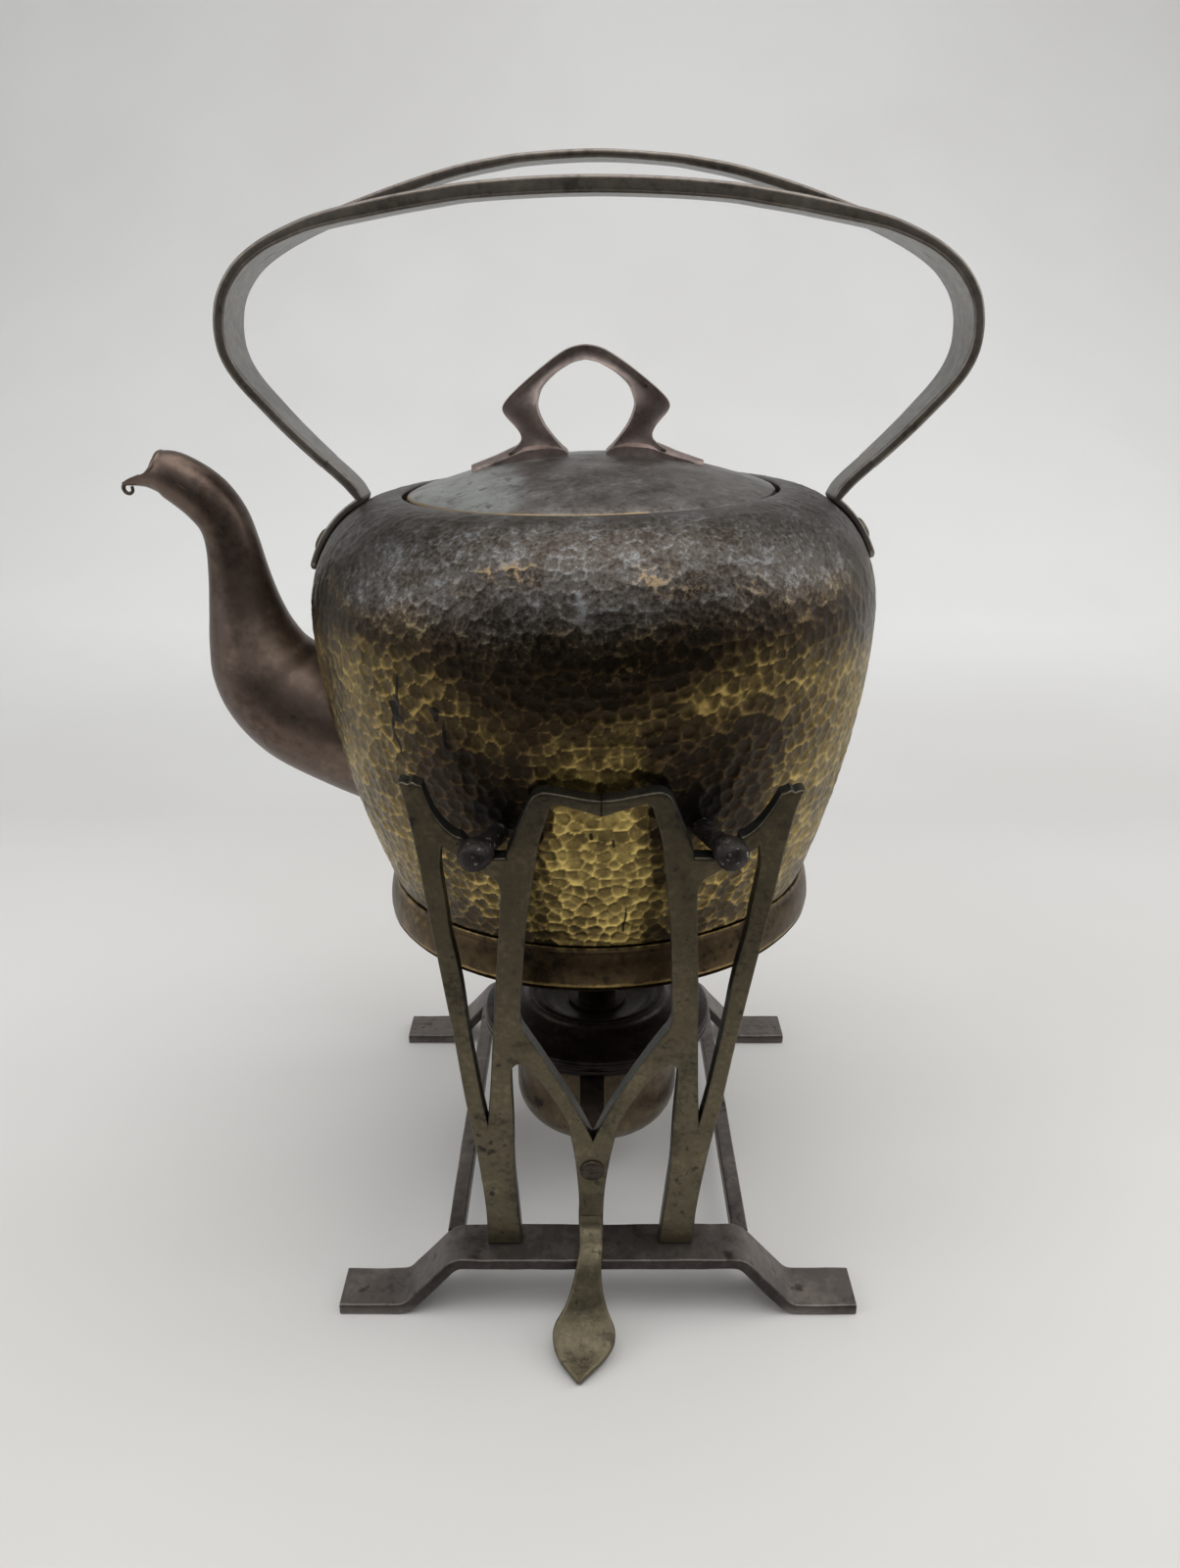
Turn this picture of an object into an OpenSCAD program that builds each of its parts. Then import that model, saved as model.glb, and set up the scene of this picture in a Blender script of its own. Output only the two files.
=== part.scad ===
// Spirit kettle on its open stand, with a lift-off burner.
// +Z up, origin on the table under the middle of the whole object,
// spout towards -X, the front frame towards -Y.

/* [Kettle body] */
// Largest radius of the body
body_r = 90.6; // [90:0.1:90.8]
// Height of the widest ring above the table
belly_z = 217; // [216:0.5:218]
// Rise of the rounded shoulder above the widest ring
shoulder_h = 36; // [35.5:0.25:36.5]
// Radius at which the shoulder stops at the lid opening
mouth_r = 59.6; // [59.4:0.05:59.9]
// Sheet thickness of the raised shells
sheet = 1.2; // [0.8:0.1:1.4]
// How far the kettle hangs over towards its spout, in degrees
hang_a = 1.2; // [0.6:0.1:1.6]

/* [Base pan] */
// Height of the pan's flat underside
pan_z = 112.4; // [112:0.1:113]
// Radius of the pan at its rounded lower edge
pan_r = 73.6; // [73.2:0.1:74]

/* [Spout] */
// Width of the spout as a share of the drawn one
spout_w = 1.0; // [0.95:0.01:1.04]

/* [Handle] */
// Depth of the handle band, front to back
handle_d = 23; // [22:0.5:25]
// Thickness of the handle band
handle_t = 3.3; // [2.6:0.1:3.6]

/* [Lid] */
// Radius of the lid
lid_r = 58; // [57.6:0.1:58.4]
// Height of the lid's crown
lid_top = 263.6; // [263:0.1:264]
// Sideways place of the loop on the lid
knob_x = -0.9; // [-2:0.1:0]
// Depth of the loop, front to back
knob_d = 12; // [9:0.5:14]

/* [Stand] */
// Thickness of the two arched frames
plate_t = 5.5; // [4.5:0.1:5.8]
// Distance of a frame's middle from the centre at its foot
plate_y = 76.9; // [76.8:0.1:78]
// Outward lean of each frame in degrees
lean = 4.85; // [4.85:0.05:5.2]
// Sideways start of the frames at the foot
foot_x = -2.5; // [-3:0.5:0]
// Height of the cross strips' bridges
deck_z = 22.4; // [22:0.1:22.8]
// Width of a cross strip
strip_w = 17.1; // [15:0.1:18]
// Thickness of a cross strip
strip_t = 4; // [3.4:0.1:4.2]
// Half length of a cross strip
strip_x = 84.1; // [80:0.1:86]

/* [Hanging pegs] */
// Height of the pegs
peg_z = 169.3; // [169.1:0.1:169.6]
// Radius of a peg
peg_r = 3; // [2.6:0.1:3]
// Angle of the far pegs from straight front or back
peg_a = 20; // [19.6:0.1:20.4]
// The same angle of the pegs on the spout's side
peg_b = 18.8; // [18.6:0.1:19.2]
// Radius of the ball on a peg's end
ball_r = 4.6; // [3.5:0.1:4.8]

/* [Burner] */
// Radius of the bowl
bowl_r = 30.2; // [28:0.1:30.4]
// Radius of the burner's cover
cover_r = 42; // [40:0.5:43]
// Height of the holding ring's top
ring_z = 59.5; // [59.3:0.1:59.5]

/* [Hidden] */
$fn = 64;
spout_reach = 151.7;            // tip of the beak, left of the kettle's axis
handle_reach = 113.9;           // widest half width of the handle
axis_x = (spout_reach - handle_reach) / 2;   // kettle axis, right of the origin
gap = 0.05;                     // seam between pieces fixed to each other

// ---------- curves ----------
function cr(a, b, c, d, t) =
    0.5 * ((2*b) + (c - a)*t + (2*a - 5*b + 4*c - d)*t*t + (3*b - a - 3*c + d)*t*t*t);
// smooth curve through hand-set points
function smooth(p, n = 3) = concat(
    [for (i = [0:len(p)-2]) for (k = [0:n-1])
        cr(p[max(i-1, 0)], p[i], p[i+1], p[min(i+2, len(p)-1)], k/n)],
    [p[len(p)-1]]);
function unit(v) = v / norm(v);
function side(p, i) = let (d = [p[min(i+1, len(p)-1)][0] - p[max(i-1, 0)][0],
                                p[min(i+1, len(p)-1)][1] - p[max(i-1, 0)][1]])
                      unit([-d[1], d[0]]);
// strip outline round a middle line, each point with its own thickness as third value
function ribbon(p) = concat(
    [for (i = [0:len(p)-1]) [p[i][0], p[i][1]] - side(p, i) * p[i][2] / 2],
    [for (i = [len(p)-1:-1:0]) [p[i][0], p[i][1]] + side(p, i) * p[i][2] / 2]);
// rounded bends at the corners of a line
function bend(p, r, n = 5) = concat([p[0]],
    [for (i = [1:len(p)-2])
        let (a = unit(p[i-1] - p[i]), b = unit(p[i+1] - p[i]),
             h = acos(a*b) / 2, c = p[i] + unit(a + b) * r / sin(h),
             s = p[i] + a * r / tan(h) - c, e = p[i] + b * r / tan(h) - c)
        for (k = [0:n]) c + r * unit(s * (1 - k/n) + e * (k/n))],
    [p[len(p)-1]]);
function mir2(p) = [for (i = [len(p)-1:-1:0]) [-p[i][0], p[i][1]]];
function thick(p, t) = [for (q = p) [q[0], q[1], t]];

// ---------- kettle profile ----------
function wall_r(z) = body_r - 0.00743 * pow(belly_z - z, 1.75);
ell_r = 60.6;                    // centre of the shoulder's quarter ellipse
ell_a = body_r - ell_r;
function shoulder(a, off = 0) = [ell_r + (ell_a + off) * cos(a), belly_z + (shoulder_h + off) * sin(a)];
a_mouth = acos((mouth_r - ell_r) / ell_a);
wall_zs = [127.2, 131, 135, 140, 146, 152, 158, 164, 170, 176, 183, 190, 197, 204, 211];
ledge_z = 249.9;

// the kettle hangs a little over towards its spout
module hang() translate([0, 0, 140]) rotate([0, -hang_a, 0]) translate([0, 0, -140]) children();
module body_solid(off = 0, low = 120) hang() {
    rotate_extrude($fn = 96)
        polygon(concat([[0, low]], [[wall_r(low) + off, low]],
            [for (z = wall_zs) [wall_r(z) + off, z]],
            [for (a = [0:9:81]) shoulder(a, off)],
            [shoulder(a_mouth, off), [0, belly_z + shoulder_h + off]]));
}

module kettle_body() color([0.52, 0.42, 0.22]) translate([axis_x, 0, 0]) hang() difference() {
    rotate_extrude($fn = 96)
        polygon(concat(
            [[69.9, 122.5], [69.9, 126.6]],
            [for (z = wall_zs) [wall_r(z), z]],
            [for (a = [0:9:81]) shoulder(a)],
            [shoulder(a_mouth), [mouth_r, ledge_z], [54.9, ledge_z], [54.9, ledge_z - sheet],
             [mouth_r + sheet, ledge_z - sheet]],
            [shoulder(acos((mouth_r + sheet - ell_r) / (ell_a - sheet)), -sheet)],
            [for (a = [81:-9:0]) shoulder(a, -sheet)],
            [for (i = [len(wall_zs)-1:-1:0]) [wall_r(wall_zs[i]) - sheet, wall_zs[i]]],
            [[68.7, 126.4], [68.7, 122.5]]));
    // way into the spout
    translate([-100, 0, 178]) rotate([0, 90, 0]) cylinder(r = 12, h = 40);
    // holes for the handle's rivets
    for (s = [-1, 1]) rivet_axis(s) translate([0, 0, -6]) cylinder(r = 2, h = 8, $fn = 32);
}

module base_pan() color([0.45, 0.33, 0.16]) translate([axis_x, 0, 0]) hang()
    rotate_extrude($fn = 96)
        polygon([[0, pan_z], [70, pan_z], [71.6, pan_z + 0.25], [72.8, pan_z + 1], [73.5, pan_z + 2.2],
                 [pan_r, pan_z + 3.4], [73.3, 119.5], [72.1, 123.6], [71.4, 125.2], [71.2, 126.2],
                 [70, 126.2], [70, 123.8], [71.2, 122.2], [72.1, 119.2], [72.4, pan_z + 3.4], [72.1, pan_z + 2.3],
                 [71.3, pan_z + 1.5], [70, pan_z + 1.2], [0, pan_z + 1.2]]);

// ---------- spout ----------
// middle line in the plane through the spout, and radius of each cut
spout_path = [[-66, 167.8, 23.6], [-82, 174, 22.7], [-92, 177.6, 21.5], [-100, 181.8, 20.8], [-107, 188, 19.4], [-111.8, 196, 17.6],
              [-114.4, 204.7, 14.7], [-115.9, 214, 12.1], [-117, 224.5, 10], [-118.1, 235, 8.6],
              [-120.2, 243, 8.2], [-124.8, 249.6, 8.4], [-131, 254.4, 8.1],
              [-136.8, 257.7, 7], [-144.5, 257, 5], [-151.4, 254.7, 1.6]];
module spout_cut(i, dr) {
    p = spout_path[i];
    d = spout_path[min(i+1, len(spout_path)-1)] - spout_path[max(i-1, 0)];
    translate([p[0], 0, p[1]]) rotate([0, atan2(d[0], d[1]), 0])
        cylinder(r = max(0.4, (p[2] - dr) * spout_w), h = 0.03, center = true, $fn = 30);
}
module spout_tube(dr, last) {
    for (i = [0:last]) hull() { spout_cut(i, dr); spout_cut(i+1, dr); }
}
module spout() color([0.36, 0.28, 0.24]) translate([axis_x, 0, 0]) difference() {
    spout_tube(0, len(spout_path) - 2);
    spout_tube(sheet, len(spout_path) - 3);
    // open mouth with the lower lip drawn out to a beak
    rotate([90, 0, 0]) linear_extrude(60, center = true)
        polygon([[-135.4, 275], [-136.6, 265.5], [-139.2, 262.6], [-141.2, 258.8], [-145, 257],
                 [-149, 256.1], [-154, 255.2], [-170, 255.2], [-170, 275]]);
    body_solid(gap, 121);
}

// ---------- handle ----------
// outer face of the band, right half: x, z and thickness
band_side = [[73.6, 247.6, handle_t], [75.8, 250.8, handle_t], [79.3, 253.9, handle_t], [85.8, 259.6, handle_t], [91.6, 265.3, handle_t],
             [97.3, 271.1, handle_t], [102.6, 276.9, handle_t], [107.5, 282.5, handle_t], [111.2, 288, handle_t],
             [113.3, 293.5, handle_t], [handle_reach, 298.9, handle_t], [113.5, 304.3, handle_t],
             [112.1, 309.6, handle_t], [109.1, 314.8, handle_t], [104.5, 319.8, handle_t],
             [97, 324.8, handle_t]];
bar_front = [[86, 329.6, 3.7], [77, 332.2, 4.1], [68, 334.2, 4.4], [58, 336.2, 4.5], [48, 337.8, 4.5],
             [38, 339.2, 4.5], [20, 340.6, 4.8], [0, 341, 4.8]];
bar_rear = [[86.5, 329.9, 3.3], [75, 334.4, 3.2], [62, 338.9, 3], [51.5, 342.1, 2.9], [41, 344.8, 2.8],
            [31, 346.6, 2.7], [20, 348, 2.5], [0, 348.9, 2.4]];
module band_solid(bar, y0, y1) {
    p = smooth(concat(band_side, bar), 2);
    inner = [for (i = [0:len(p)-1]) [p[i][0], p[i][1]] + side(p, i) * p[i][2]];
    // the last points lie on the middle plane, so the two halves join there
    translate([0, y1, 0]) rotate([90, 0, 0]) linear_extrude(y1 - y0)
        polygon(concat([for (q = p) [q[0], q[1]]], mir2([for (i = [0:len(p)-2]) p[i]]),
                       [for (i = [0:len(p)-2]) [-inner[i][0], inner[i][1]]],
                       [[0, p[len(p)-1][1] - p[len(p)-1][2]]],
                       [for (i = [len(p)-2:-1:0]) inner[i]]));
}
function shoulder_n(a) = unit([cos(a) / ell_a, sin(a) / shoulder_h]);
module tab_solid() hang() rotate([90, 0, 0]) linear_extrude(14, center = true) for (s = [0, 1]) mirror([s, 0])
    polygon(concat([for (a = [71:-5:21]) shoulder(a) + shoulder_n(a) * 2.1],
                   [for (a = [21:5:71]) shoulder(a) - shoulder_n(a) * 0.4]));
// a rivet's own axis points out of the shoulder
riv_a = 34.7;
module rivet_axis(s) {
    e = shoulder(riv_a);
    n = atan2(cos(riv_a) / ell_a, sin(riv_a) / shoulder_h);   // tilt of the shoulder there
    translate([s * e[0], 0, e[1]]) rotate([0, s * n, 0]) children();
}
module handle_rivet_place(s) hang() rivet_axis(s) children();
module handle() color([0.33, 0.29, 0.22]) translate([axis_x, 0, 0]) difference() {
    union() {
        intersection() {
            union() { band_solid(bar_front, -handle_d/2, 0); band_solid(bar_rear, 0, handle_d/2); }
            // the band narrows down to its feet
            rotate([90, 0, 90]) linear_extrude(300, center = true)
                polygon([[-7, 240], [7, 240], [7.2, 254], [9.2, 272], [11.2, 291], [11.8, 300], [12.5, 320], [12.5, 356],
                         [-12.5, 356], [-12.5, 320], [-11.8, 300], [-11.2, 291], [-9.2, 272], [-7.2, 254]]);
        }
        tab_solid();
    }
    body_solid(gap);
    for (s = [-1, 1]) handle_rivet_place(s) translate([0, 0, -2]) cylinder(r = 2, h = 8, $fn = 32);
}
module handle_rivets() color([0.4, 0.34, 0.22]) translate([axis_x, 0, 0])
    for (s = [-1, 1]) handle_rivet_place(s) {
        translate([0, 0, -3]) cylinder(r = 1.95, h = 5.3, $fn = 32);
        translate([0, 0, 2.15]) intersection() {
            translate([0, 0, -2.3]) sphere(r = 4.3, $fn = 48);
            cylinder(r = 4, h = 4, $fn = 48);
        }
        translate([0, 0, -2.9]) cylinder(r = 3, h = 1, $fn = 32);
    }

// ---------- hanging pegs ----------
// a peg's own +Z points outwards; q = -1 front, 1 rear; s = -1 spout side, 1 other side
module peg_place(s, q) translate([0, 0, peg_z])
    rotate([0, 0, q * (90 - s * (s > 0 ? peg_a : peg_b))]) rotate([0, 90, 0]) children();
ball_at = 102.8;
// round inner ends of the spout-side pegs stand just clear of the wall
inner_at = wall_r(peg_z) + 0.2 + (peg_r + 0.3) / cos(13);
module peg_ball() translate([0, 0, ball_at]) sphere(r = ball_r, $fn = 48);
module pour_pegs() color([0.28, 0.26, 0.25]) translate([axis_x, 0, 0])
    for (q = [-1, 1]) peg_place(-1, q) {
        translate([0, 0, inner_at]) sphere(r = peg_r, $fn = 48);
        translate([0, 0, inner_at]) cylinder(r = peg_r, h = ball_at - inner_at, $fn = 48);
        peg_ball();
    }
module rest_pegs() color([0.28, 0.26, 0.25]) translate([axis_x, 0, 0]) difference() {
    for (q = [-1, 1]) peg_place(1, q) {
        translate([0, 0, 80]) cylinder(r = peg_r, h = ball_at - 80, $fn = 48);
        peg_ball();
    }
    body_solid(0);
}

// ---------- lid ----------
lid_line = [[lid_r, 252.6], [54, 254.4], [49.5, 255.6], [41.2, 258], [30, 260.9], [20, 262.5], [10, 263.4], [0, lid_top]];
module lid_solid(low = 252.6) rotate_extrude($fn = 96)
    polygon(concat(lid_line, [[0, low], [lid_r, low]]));
module lid() color([0.42, 0.42, 0.36]) translate([axis_x, 0, 0]) hang() rotate_extrude($fn = 96)
    polygon(concat([[lid_r, 250.2]], lid_line, [[0, lid_top - sheet]],
        [for (i = [len(lid_line)-2:-1:1]) lid_line[i] - [0, sheet]], [[lid_r - 1.5, 251.9], [lid_r - 1.5, 250.2]]));
module lid_collar() color([0.38, 0.34, 0.25]) translate([axis_x, 0, 0]) hang() difference() {
    translate([0, 0, 243]) cylinder(r = 54.1, h = 10, $fn = 96);
    translate([0, 0, 242]) cylinder(r = 53, h = 12, $fn = 96);
}
knob_out = [[0, 295.6], [3, 294.9], [6.5, 293.5], [11.5, 290.2], [19, 284.9], [24, 280.4], [25.7, 277.4]];
knob_neck = [[25.7, 277.4], [22.4, 273.6], [19.6, 269.4], [22.8, 265.8], [28, 262.9], [35.8, 259.2]];
knob_in = [[6, 262.5], [6.2, 264.2], [9.6, 268], [12.8, 272], [15.1, 277.5], [14.6, 281.5], [12, 285.7], [8, 288.8], [4, 290.9], [0, 291.8]];
module lid_knob() color([0.42, 0.28, 0.19]) translate([axis_x, 0, 0]) hang() difference() {
    half = concat(smooth(knob_out, 2), smooth(knob_neck, 2), [[35.8, 256.8], [6.15, 257]], smooth(knob_in, 2));
    translate([knob_x, 0, 0]) rotate([90, 0, 0]) linear_extrude(knob_d, center = true)
        polygon(concat([for (i = [1:len(half)-1]) half[i]], mir2([for (i = [0:len(half)-2]) half[i]])));
    lid_solid();
}

// ---------- stand ----------
// outline of the arched frame: x, and height along its slope
function skew(p) = [for (q = p) [q[0] + foot_x + 0.0185 * q[1], q[1]]];
stem_s = 12;                     // the stem is drawn out into the tail here
peg_s = (peg_z - deck_z) / cos(lean);   // height of the pegs along the slope
peg_out = plate_y + peg_s * sin(lean);  // where they cross the frame
function half_plate(arm_top, angle, sx) = let (px = peg_out * tan(angle) - sx * (foot_x + 0.0185 * peg_s)) concat(
    smooth([[3.9, stem_s], [4, 20], [4.9, 31], [6.3, 41.2], [8.2, 50.9], [12, 58.9], [16.9, 67.3], [21.4, 72.6], [24, 72.4], [24.9, 68.5],
            [24.4, 50.8], [24.3, 33], [23.3, 18], [22.1, -2]], 2),
    smooth([[33.3, -2], [33.7, 15.5], [35.4, 33], [37.1, 46], [39.1, 60], [41.8, 83], [43.2, 93], [45.9, 113],
            [48.2, 130], [50, 145], [52.1, 158], [53.9, arm_top]], 1),
    smooth([[47.7, arm_top - 1], [45.3, 158.4], [42.3, 153.6], [39.4, 150.9], [37.6, 150.2]], 2),
    [for (a = [0:-15:-90]) [px + 4.9 * cos(a), peg_s + 3.6 * sin(a)]],
    [[25.9, peg_s - 3.5]],
    smooth([[25.4, 146], [23.2, 151.5], [20.8, 157.5], [18.9, 161.8], [17, 163.4], [14.8, 163.8], [9.3, 162.8], [4.5, 161.8], [0, 161.3]], 2));
slot = concat(
    smooth([[43, 147.4], [43.6, 142], [43.3, 137], [42.3, 128], [41.6, 120], [39.9, 110], [38.6, 100], [37.2, 85.5],
            [34.2, 62], [32.4, 50.7]], 1),
    smooth([[31.5, 62], [29.9, 90], [29.4, 100], [28.6, 111], [27.5, 127], [27.4, 133], [28.8, 136.8], [32.5, 139.4], [36.7, 142.3]], 1));
half_arch = concat(
    smooth([[0, 43.6], [4.2, 52.5], [9.3, 62.1], [16.6, 76], [21.6, 86.2]], 2),
    smooth([[22.3, 89], [21.8, 98], [21, 111], [20.3, 121], [18.7, 134], [17.8, 141], [16.6, 149], [14.3, 157], [13.9, 158.7]], 1),
    smooth([[12, 160.2], [10, 159.6], [5, 158.1], [0, 156.4]], 1));
rivet_s = 31.9;
// a frame's own axes: x, height along the slope, outwards
module plate_place() translate([0, -plate_y, deck_z]) rotate([90 + lean, 0, 0]) children();
module plate() difference() {
    plate_place() linear_extrude(plate_t, center = true) difference() {
        // the arm away from the spout is a little shorter
        polygon(skew(concat(half_plate(164.3, peg_a, 1), mir2(half_plate(166.8, peg_b, -1)))));
        polygon(skew(slot));
        polygon(skew(mir2(slot)));
        polygon(skew(concat(half_arch, mir2(half_arch))));
    }
    plate_place() translate([foot_x + 0.0185 * rivet_s, rivet_s, 0]) cylinder(r = 1.75, h = 20, center = true, $fn = 32);
    translate([-100, -150, deck_z - 20]) cube([200, 140, 20]);
}
// leaf-shaped tail: side line, then plan outline
tail_line = [[-77.9, 35, 5], [-78, 32.2, 4.7], [-79.3, 29.6, 4.3], [-82.2, 27.6, 4], [-85.8, 26.3, 4], [-89, 23.9, 4],
             [-91.4, 19.8, 4], [-93.6, 14.5, 4], [-97.2, 9.6, 3.8], [-103.6, 5.2, 3.4], [-109.5, 3.1, 2.9], [-115, 1.7, 2.4]];
leaf = [[4, -74], [3.9, -86], [4.3, -91], [6.4, -95], [9.2, -99], [9.8, -102], [9, -105.5], [6.6, -109.2], [3, -112.8], [0.5, -115.2]];
function leaf_bend(p) = [for (q = p) [q[0] - 2.2 * min(1, max(0, (-86 - q[1]) / 12)) - 1.4 * max(0, (-104 - q[1]) / 11), q[1]]];
module tail() difference() {
    translate([foot_x + 0.0185 * stem_s, 0, 0]) intersection() {
        rotate([90, 0, 90]) linear_extrude(30, center = true) polygon(ribbon(smooth(tail_line, 2)));
        linear_extrude(50) polygon(leaf_bend(concat(smooth(leaf, 2), mir2(smooth(leaf, 2)))));
    }
    // cut square to the frame's slope, just under its stem
    plate_place() translate([-30, stem_s - gap, -20]) cube([60, 20, 40]);
}
strip_line = bend([[-strip_x, strip_t/2], [-62.5, strip_t/2], [-46.3, deck_z - strip_t/2], [46.3, deck_z - strip_t/2],
                   [62.5, strip_t/2], [strip_x, strip_t/2]], 6);
module strip() translate([0, -70, 0]) rotate([90, 0, 0]) linear_extrude(strip_w) polygon(ribbon(thick(strip_line, strip_t)));
module rail(s) translate([s * 47.3 - 2.7, -70, 14.6]) cube([5.4, 140, 5.6]);

module front_plate() color([0.45, 0.41, 0.29]) translate([axis_x, 0, 0]) plate();
module rear_plate() color([0.45, 0.41, 0.29]) translate([axis_x, 0, 0]) mirror([0, 1, 0]) plate();
module front_tail() color([0.45, 0.4, 0.27]) translate([axis_x, 0, 0]) tail();
module rear_tail() color([0.45, 0.4, 0.27]) translate([axis_x, 0, 0]) mirror([0, 1, 0]) tail();
module front_bracket() color([0.36, 0.3, 0.29]) translate([axis_x, 0, 0]) strip();
module rear_bracket() color([0.36, 0.3, 0.29]) translate([axis_x, 0, 0]) mirror([0, 1, 0]) strip();
module left_rail() color([0.38, 0.33, 0.28]) translate([axis_x, 0, 0]) rail(-1);
module right_rail() color([0.38, 0.33, 0.28]) translate([axis_x, 0, 0]) rail(1);

// ring that the burner hangs in, with an arm to each frame
arm_w = 8.6;
arm_x = foot_x + 0.0185 * rivet_s;
module burner_holder() color([0.3, 0.25, 0.2]) translate([axis_x, 0, 0]) {
    difference() {
        translate([0, 0, ring_z - 2.4]) cylinder(r = 38, h = 2.4, $fn = 96);
        translate([0, 0, ring_z - 5]) cylinder(r = 31, h = 10, $fn = 96);
    }
    for (m = [0, 1]) mirror([0, m, 0]) difference() {
        union() {
            translate([arm_x - arm_w/2 + 0.2, -75.4, ring_z - 2.3]) cube([arm_w - 0.4, 40, 2.15]);
            plate_place() translate([arm_x - arm_w/2, 26, -plate_t/2 - 2.4]) cube([arm_w, 11.3, 2.4]);
        }
        plate_place() translate([arm_x, rivet_s, 0]) cylinder(r = 1.75, h = 20, center = true, $fn = 32);
    }
}
module holder_rivets() color([0.36, 0.3, 0.22]) translate([axis_x, 0, 0])
    for (m = [0, 1]) mirror([0, m, 0]) plate_place() translate([arm_x, rivet_s, 0]) {
        translate([0, 0, -plate_t/2 - 3]) cylinder(r = 1.7, h = plate_t + 3.2, $fn = 32);
        translate([0, 0, plate_t/2]) intersection() {
            translate([0, 0, -2.8]) sphere(r = 4.4, $fn = 48);
            cylinder(r = 3.4, h = 3, $fn = 48);
        }
        translate([0, 0, -plate_t/2 - 3.6]) cylinder(r = 2.4, h = 1.2, $fn = 32);
    }

// ---------- burner ----------
bowl_z = 17.4;                   // lowest point of the bowl
bowl_e = 15;                     // its rounding
module burner_reservoir() color([0.34, 0.28, 0.19]) translate([axis_x, 0, 0]) rotate_extrude($fn = 96)
    polygon(concat([[0, bowl_z]], [for (a = [-90:9:0]) [bowl_r - bowl_e + bowl_e * cos(a), bowl_z + bowl_e + bowl_e * sin(a)]],
        [[bowl_r, 59.8], [bowl_r - sheet, 59.8]],
        [for (a = [0:-9:-90]) [bowl_r - bowl_e + (bowl_e - sheet) * cos(a), bowl_z + bowl_e + (bowl_e - sheet) * sin(a)]],
        [[0, bowl_z + sheet]]));
module burner_top() color([0.3, 0.25, 0.18]) translate([axis_x, 0, 0]) rotate_extrude($fn = 96)
    polygon([[bowl_r - sheet, 59.8], [cover_r - 0.6, 59.8], [cover_r, 60.3], [cover_r, 61.4], [cover_r - 0.7, 61.9],
             [cover_r - 0.1, 62.4], [cover_r - 0.1, 63.6], [cover_r - 0.7, 64.1], [cover_r - 0.4, 64.6],
             [cover_r - 0.9, 65.5], [34, 67.3], [26.6, 69], [26, 70.2], [25, 70.8], [24, 70.2], [23.3, 69.3],
             [22.4, 69.4], [21.5, 70], [20.5, 69.4], [18.5, 67.6], [15, 66.3], [7.4, 66.2], [7.4, 65],
             [15, 65], [19, 66.2], [22, 67.6], [27, 67.4], [bowl_r - sheet, 66.6]]);
module wick_tube() color([0.32, 0.27, 0.2]) translate([axis_x, 0, 0]) rotate_extrude($fn = 64)
    polygon([[5.5, 60], [7, 60], [7, 66.3], [10.5, 66.3], [10.5, 67.3], [7, 67.5], [7, 73.4], [6.6, 74], [5.5, 74]]);
module wick() color([0.8, 0.76, 0.66]) translate([axis_x, 0, 24]) cylinder(r = 5.2, h = 50.5, $fn = 48);

front_plate();
rear_plate();
front_tail();
rear_tail();
front_bracket();
rear_bracket();
left_rail();
right_rail();
burner_holder();
holder_rivets();
pour_pegs();
kettle_body();
base_pan();
spout();
handle();
handle_rivets();
rest_pegs();
lid();
lid_collar();
lid_knob();
burner_reservoir();
burner_top();
wick_tube();
wick();
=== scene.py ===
import math
import bpy
import numpy as np
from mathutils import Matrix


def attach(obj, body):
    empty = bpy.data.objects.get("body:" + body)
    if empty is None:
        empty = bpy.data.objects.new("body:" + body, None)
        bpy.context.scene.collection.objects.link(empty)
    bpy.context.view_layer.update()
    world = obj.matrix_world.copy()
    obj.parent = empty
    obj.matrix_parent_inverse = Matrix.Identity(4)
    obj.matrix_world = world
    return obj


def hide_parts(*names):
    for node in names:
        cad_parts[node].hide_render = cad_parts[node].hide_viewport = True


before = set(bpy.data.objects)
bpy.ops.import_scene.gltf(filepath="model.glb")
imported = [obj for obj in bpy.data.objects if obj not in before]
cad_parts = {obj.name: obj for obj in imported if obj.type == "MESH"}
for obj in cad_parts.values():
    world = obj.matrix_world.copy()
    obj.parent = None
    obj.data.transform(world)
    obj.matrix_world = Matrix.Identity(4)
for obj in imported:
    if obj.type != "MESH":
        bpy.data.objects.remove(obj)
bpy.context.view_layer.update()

AX = 18.9            # kettle axis in the row frame, mm
HANG = math.radians(1.2)
rng = np.random.default_rng(7)


# ------------------------------------------------------------------ shapes
def cr(p, n):
    """Catmull-Rom curve through points, n steps a segment."""
    p = np.array(p, float)
    q = np.vstack([p[:1], p, p[-1:]])
    out = []
    for i in range(1, len(q) - 2):
        a, b, c, d = q[i-1], q[i], q[i+1], q[i+2]
        for k in range(n):
            t = k / n
            out.append(0.5 * ((2*b) + (c-a)*t + (2*a-5*b+4*c-d)*t*t + (3*b-a-3*c+d)*t**3))
    out.append(p[-1])
    return np.array(out)


def even(p, step):
    """Points at even spacing along a line."""
    p = np.array(p, float)
    d = np.r_[0, np.cumsum(np.linalg.norm(np.diff(p, axis=0), axis=1))]
    n = max(2, int(round(d[-1] / step)) + 1)
    s = np.linspace(0, d[-1], n)
    return np.stack([np.interp(s, d, p[:, k]) for k in range(p.shape[1])], 1)


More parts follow.
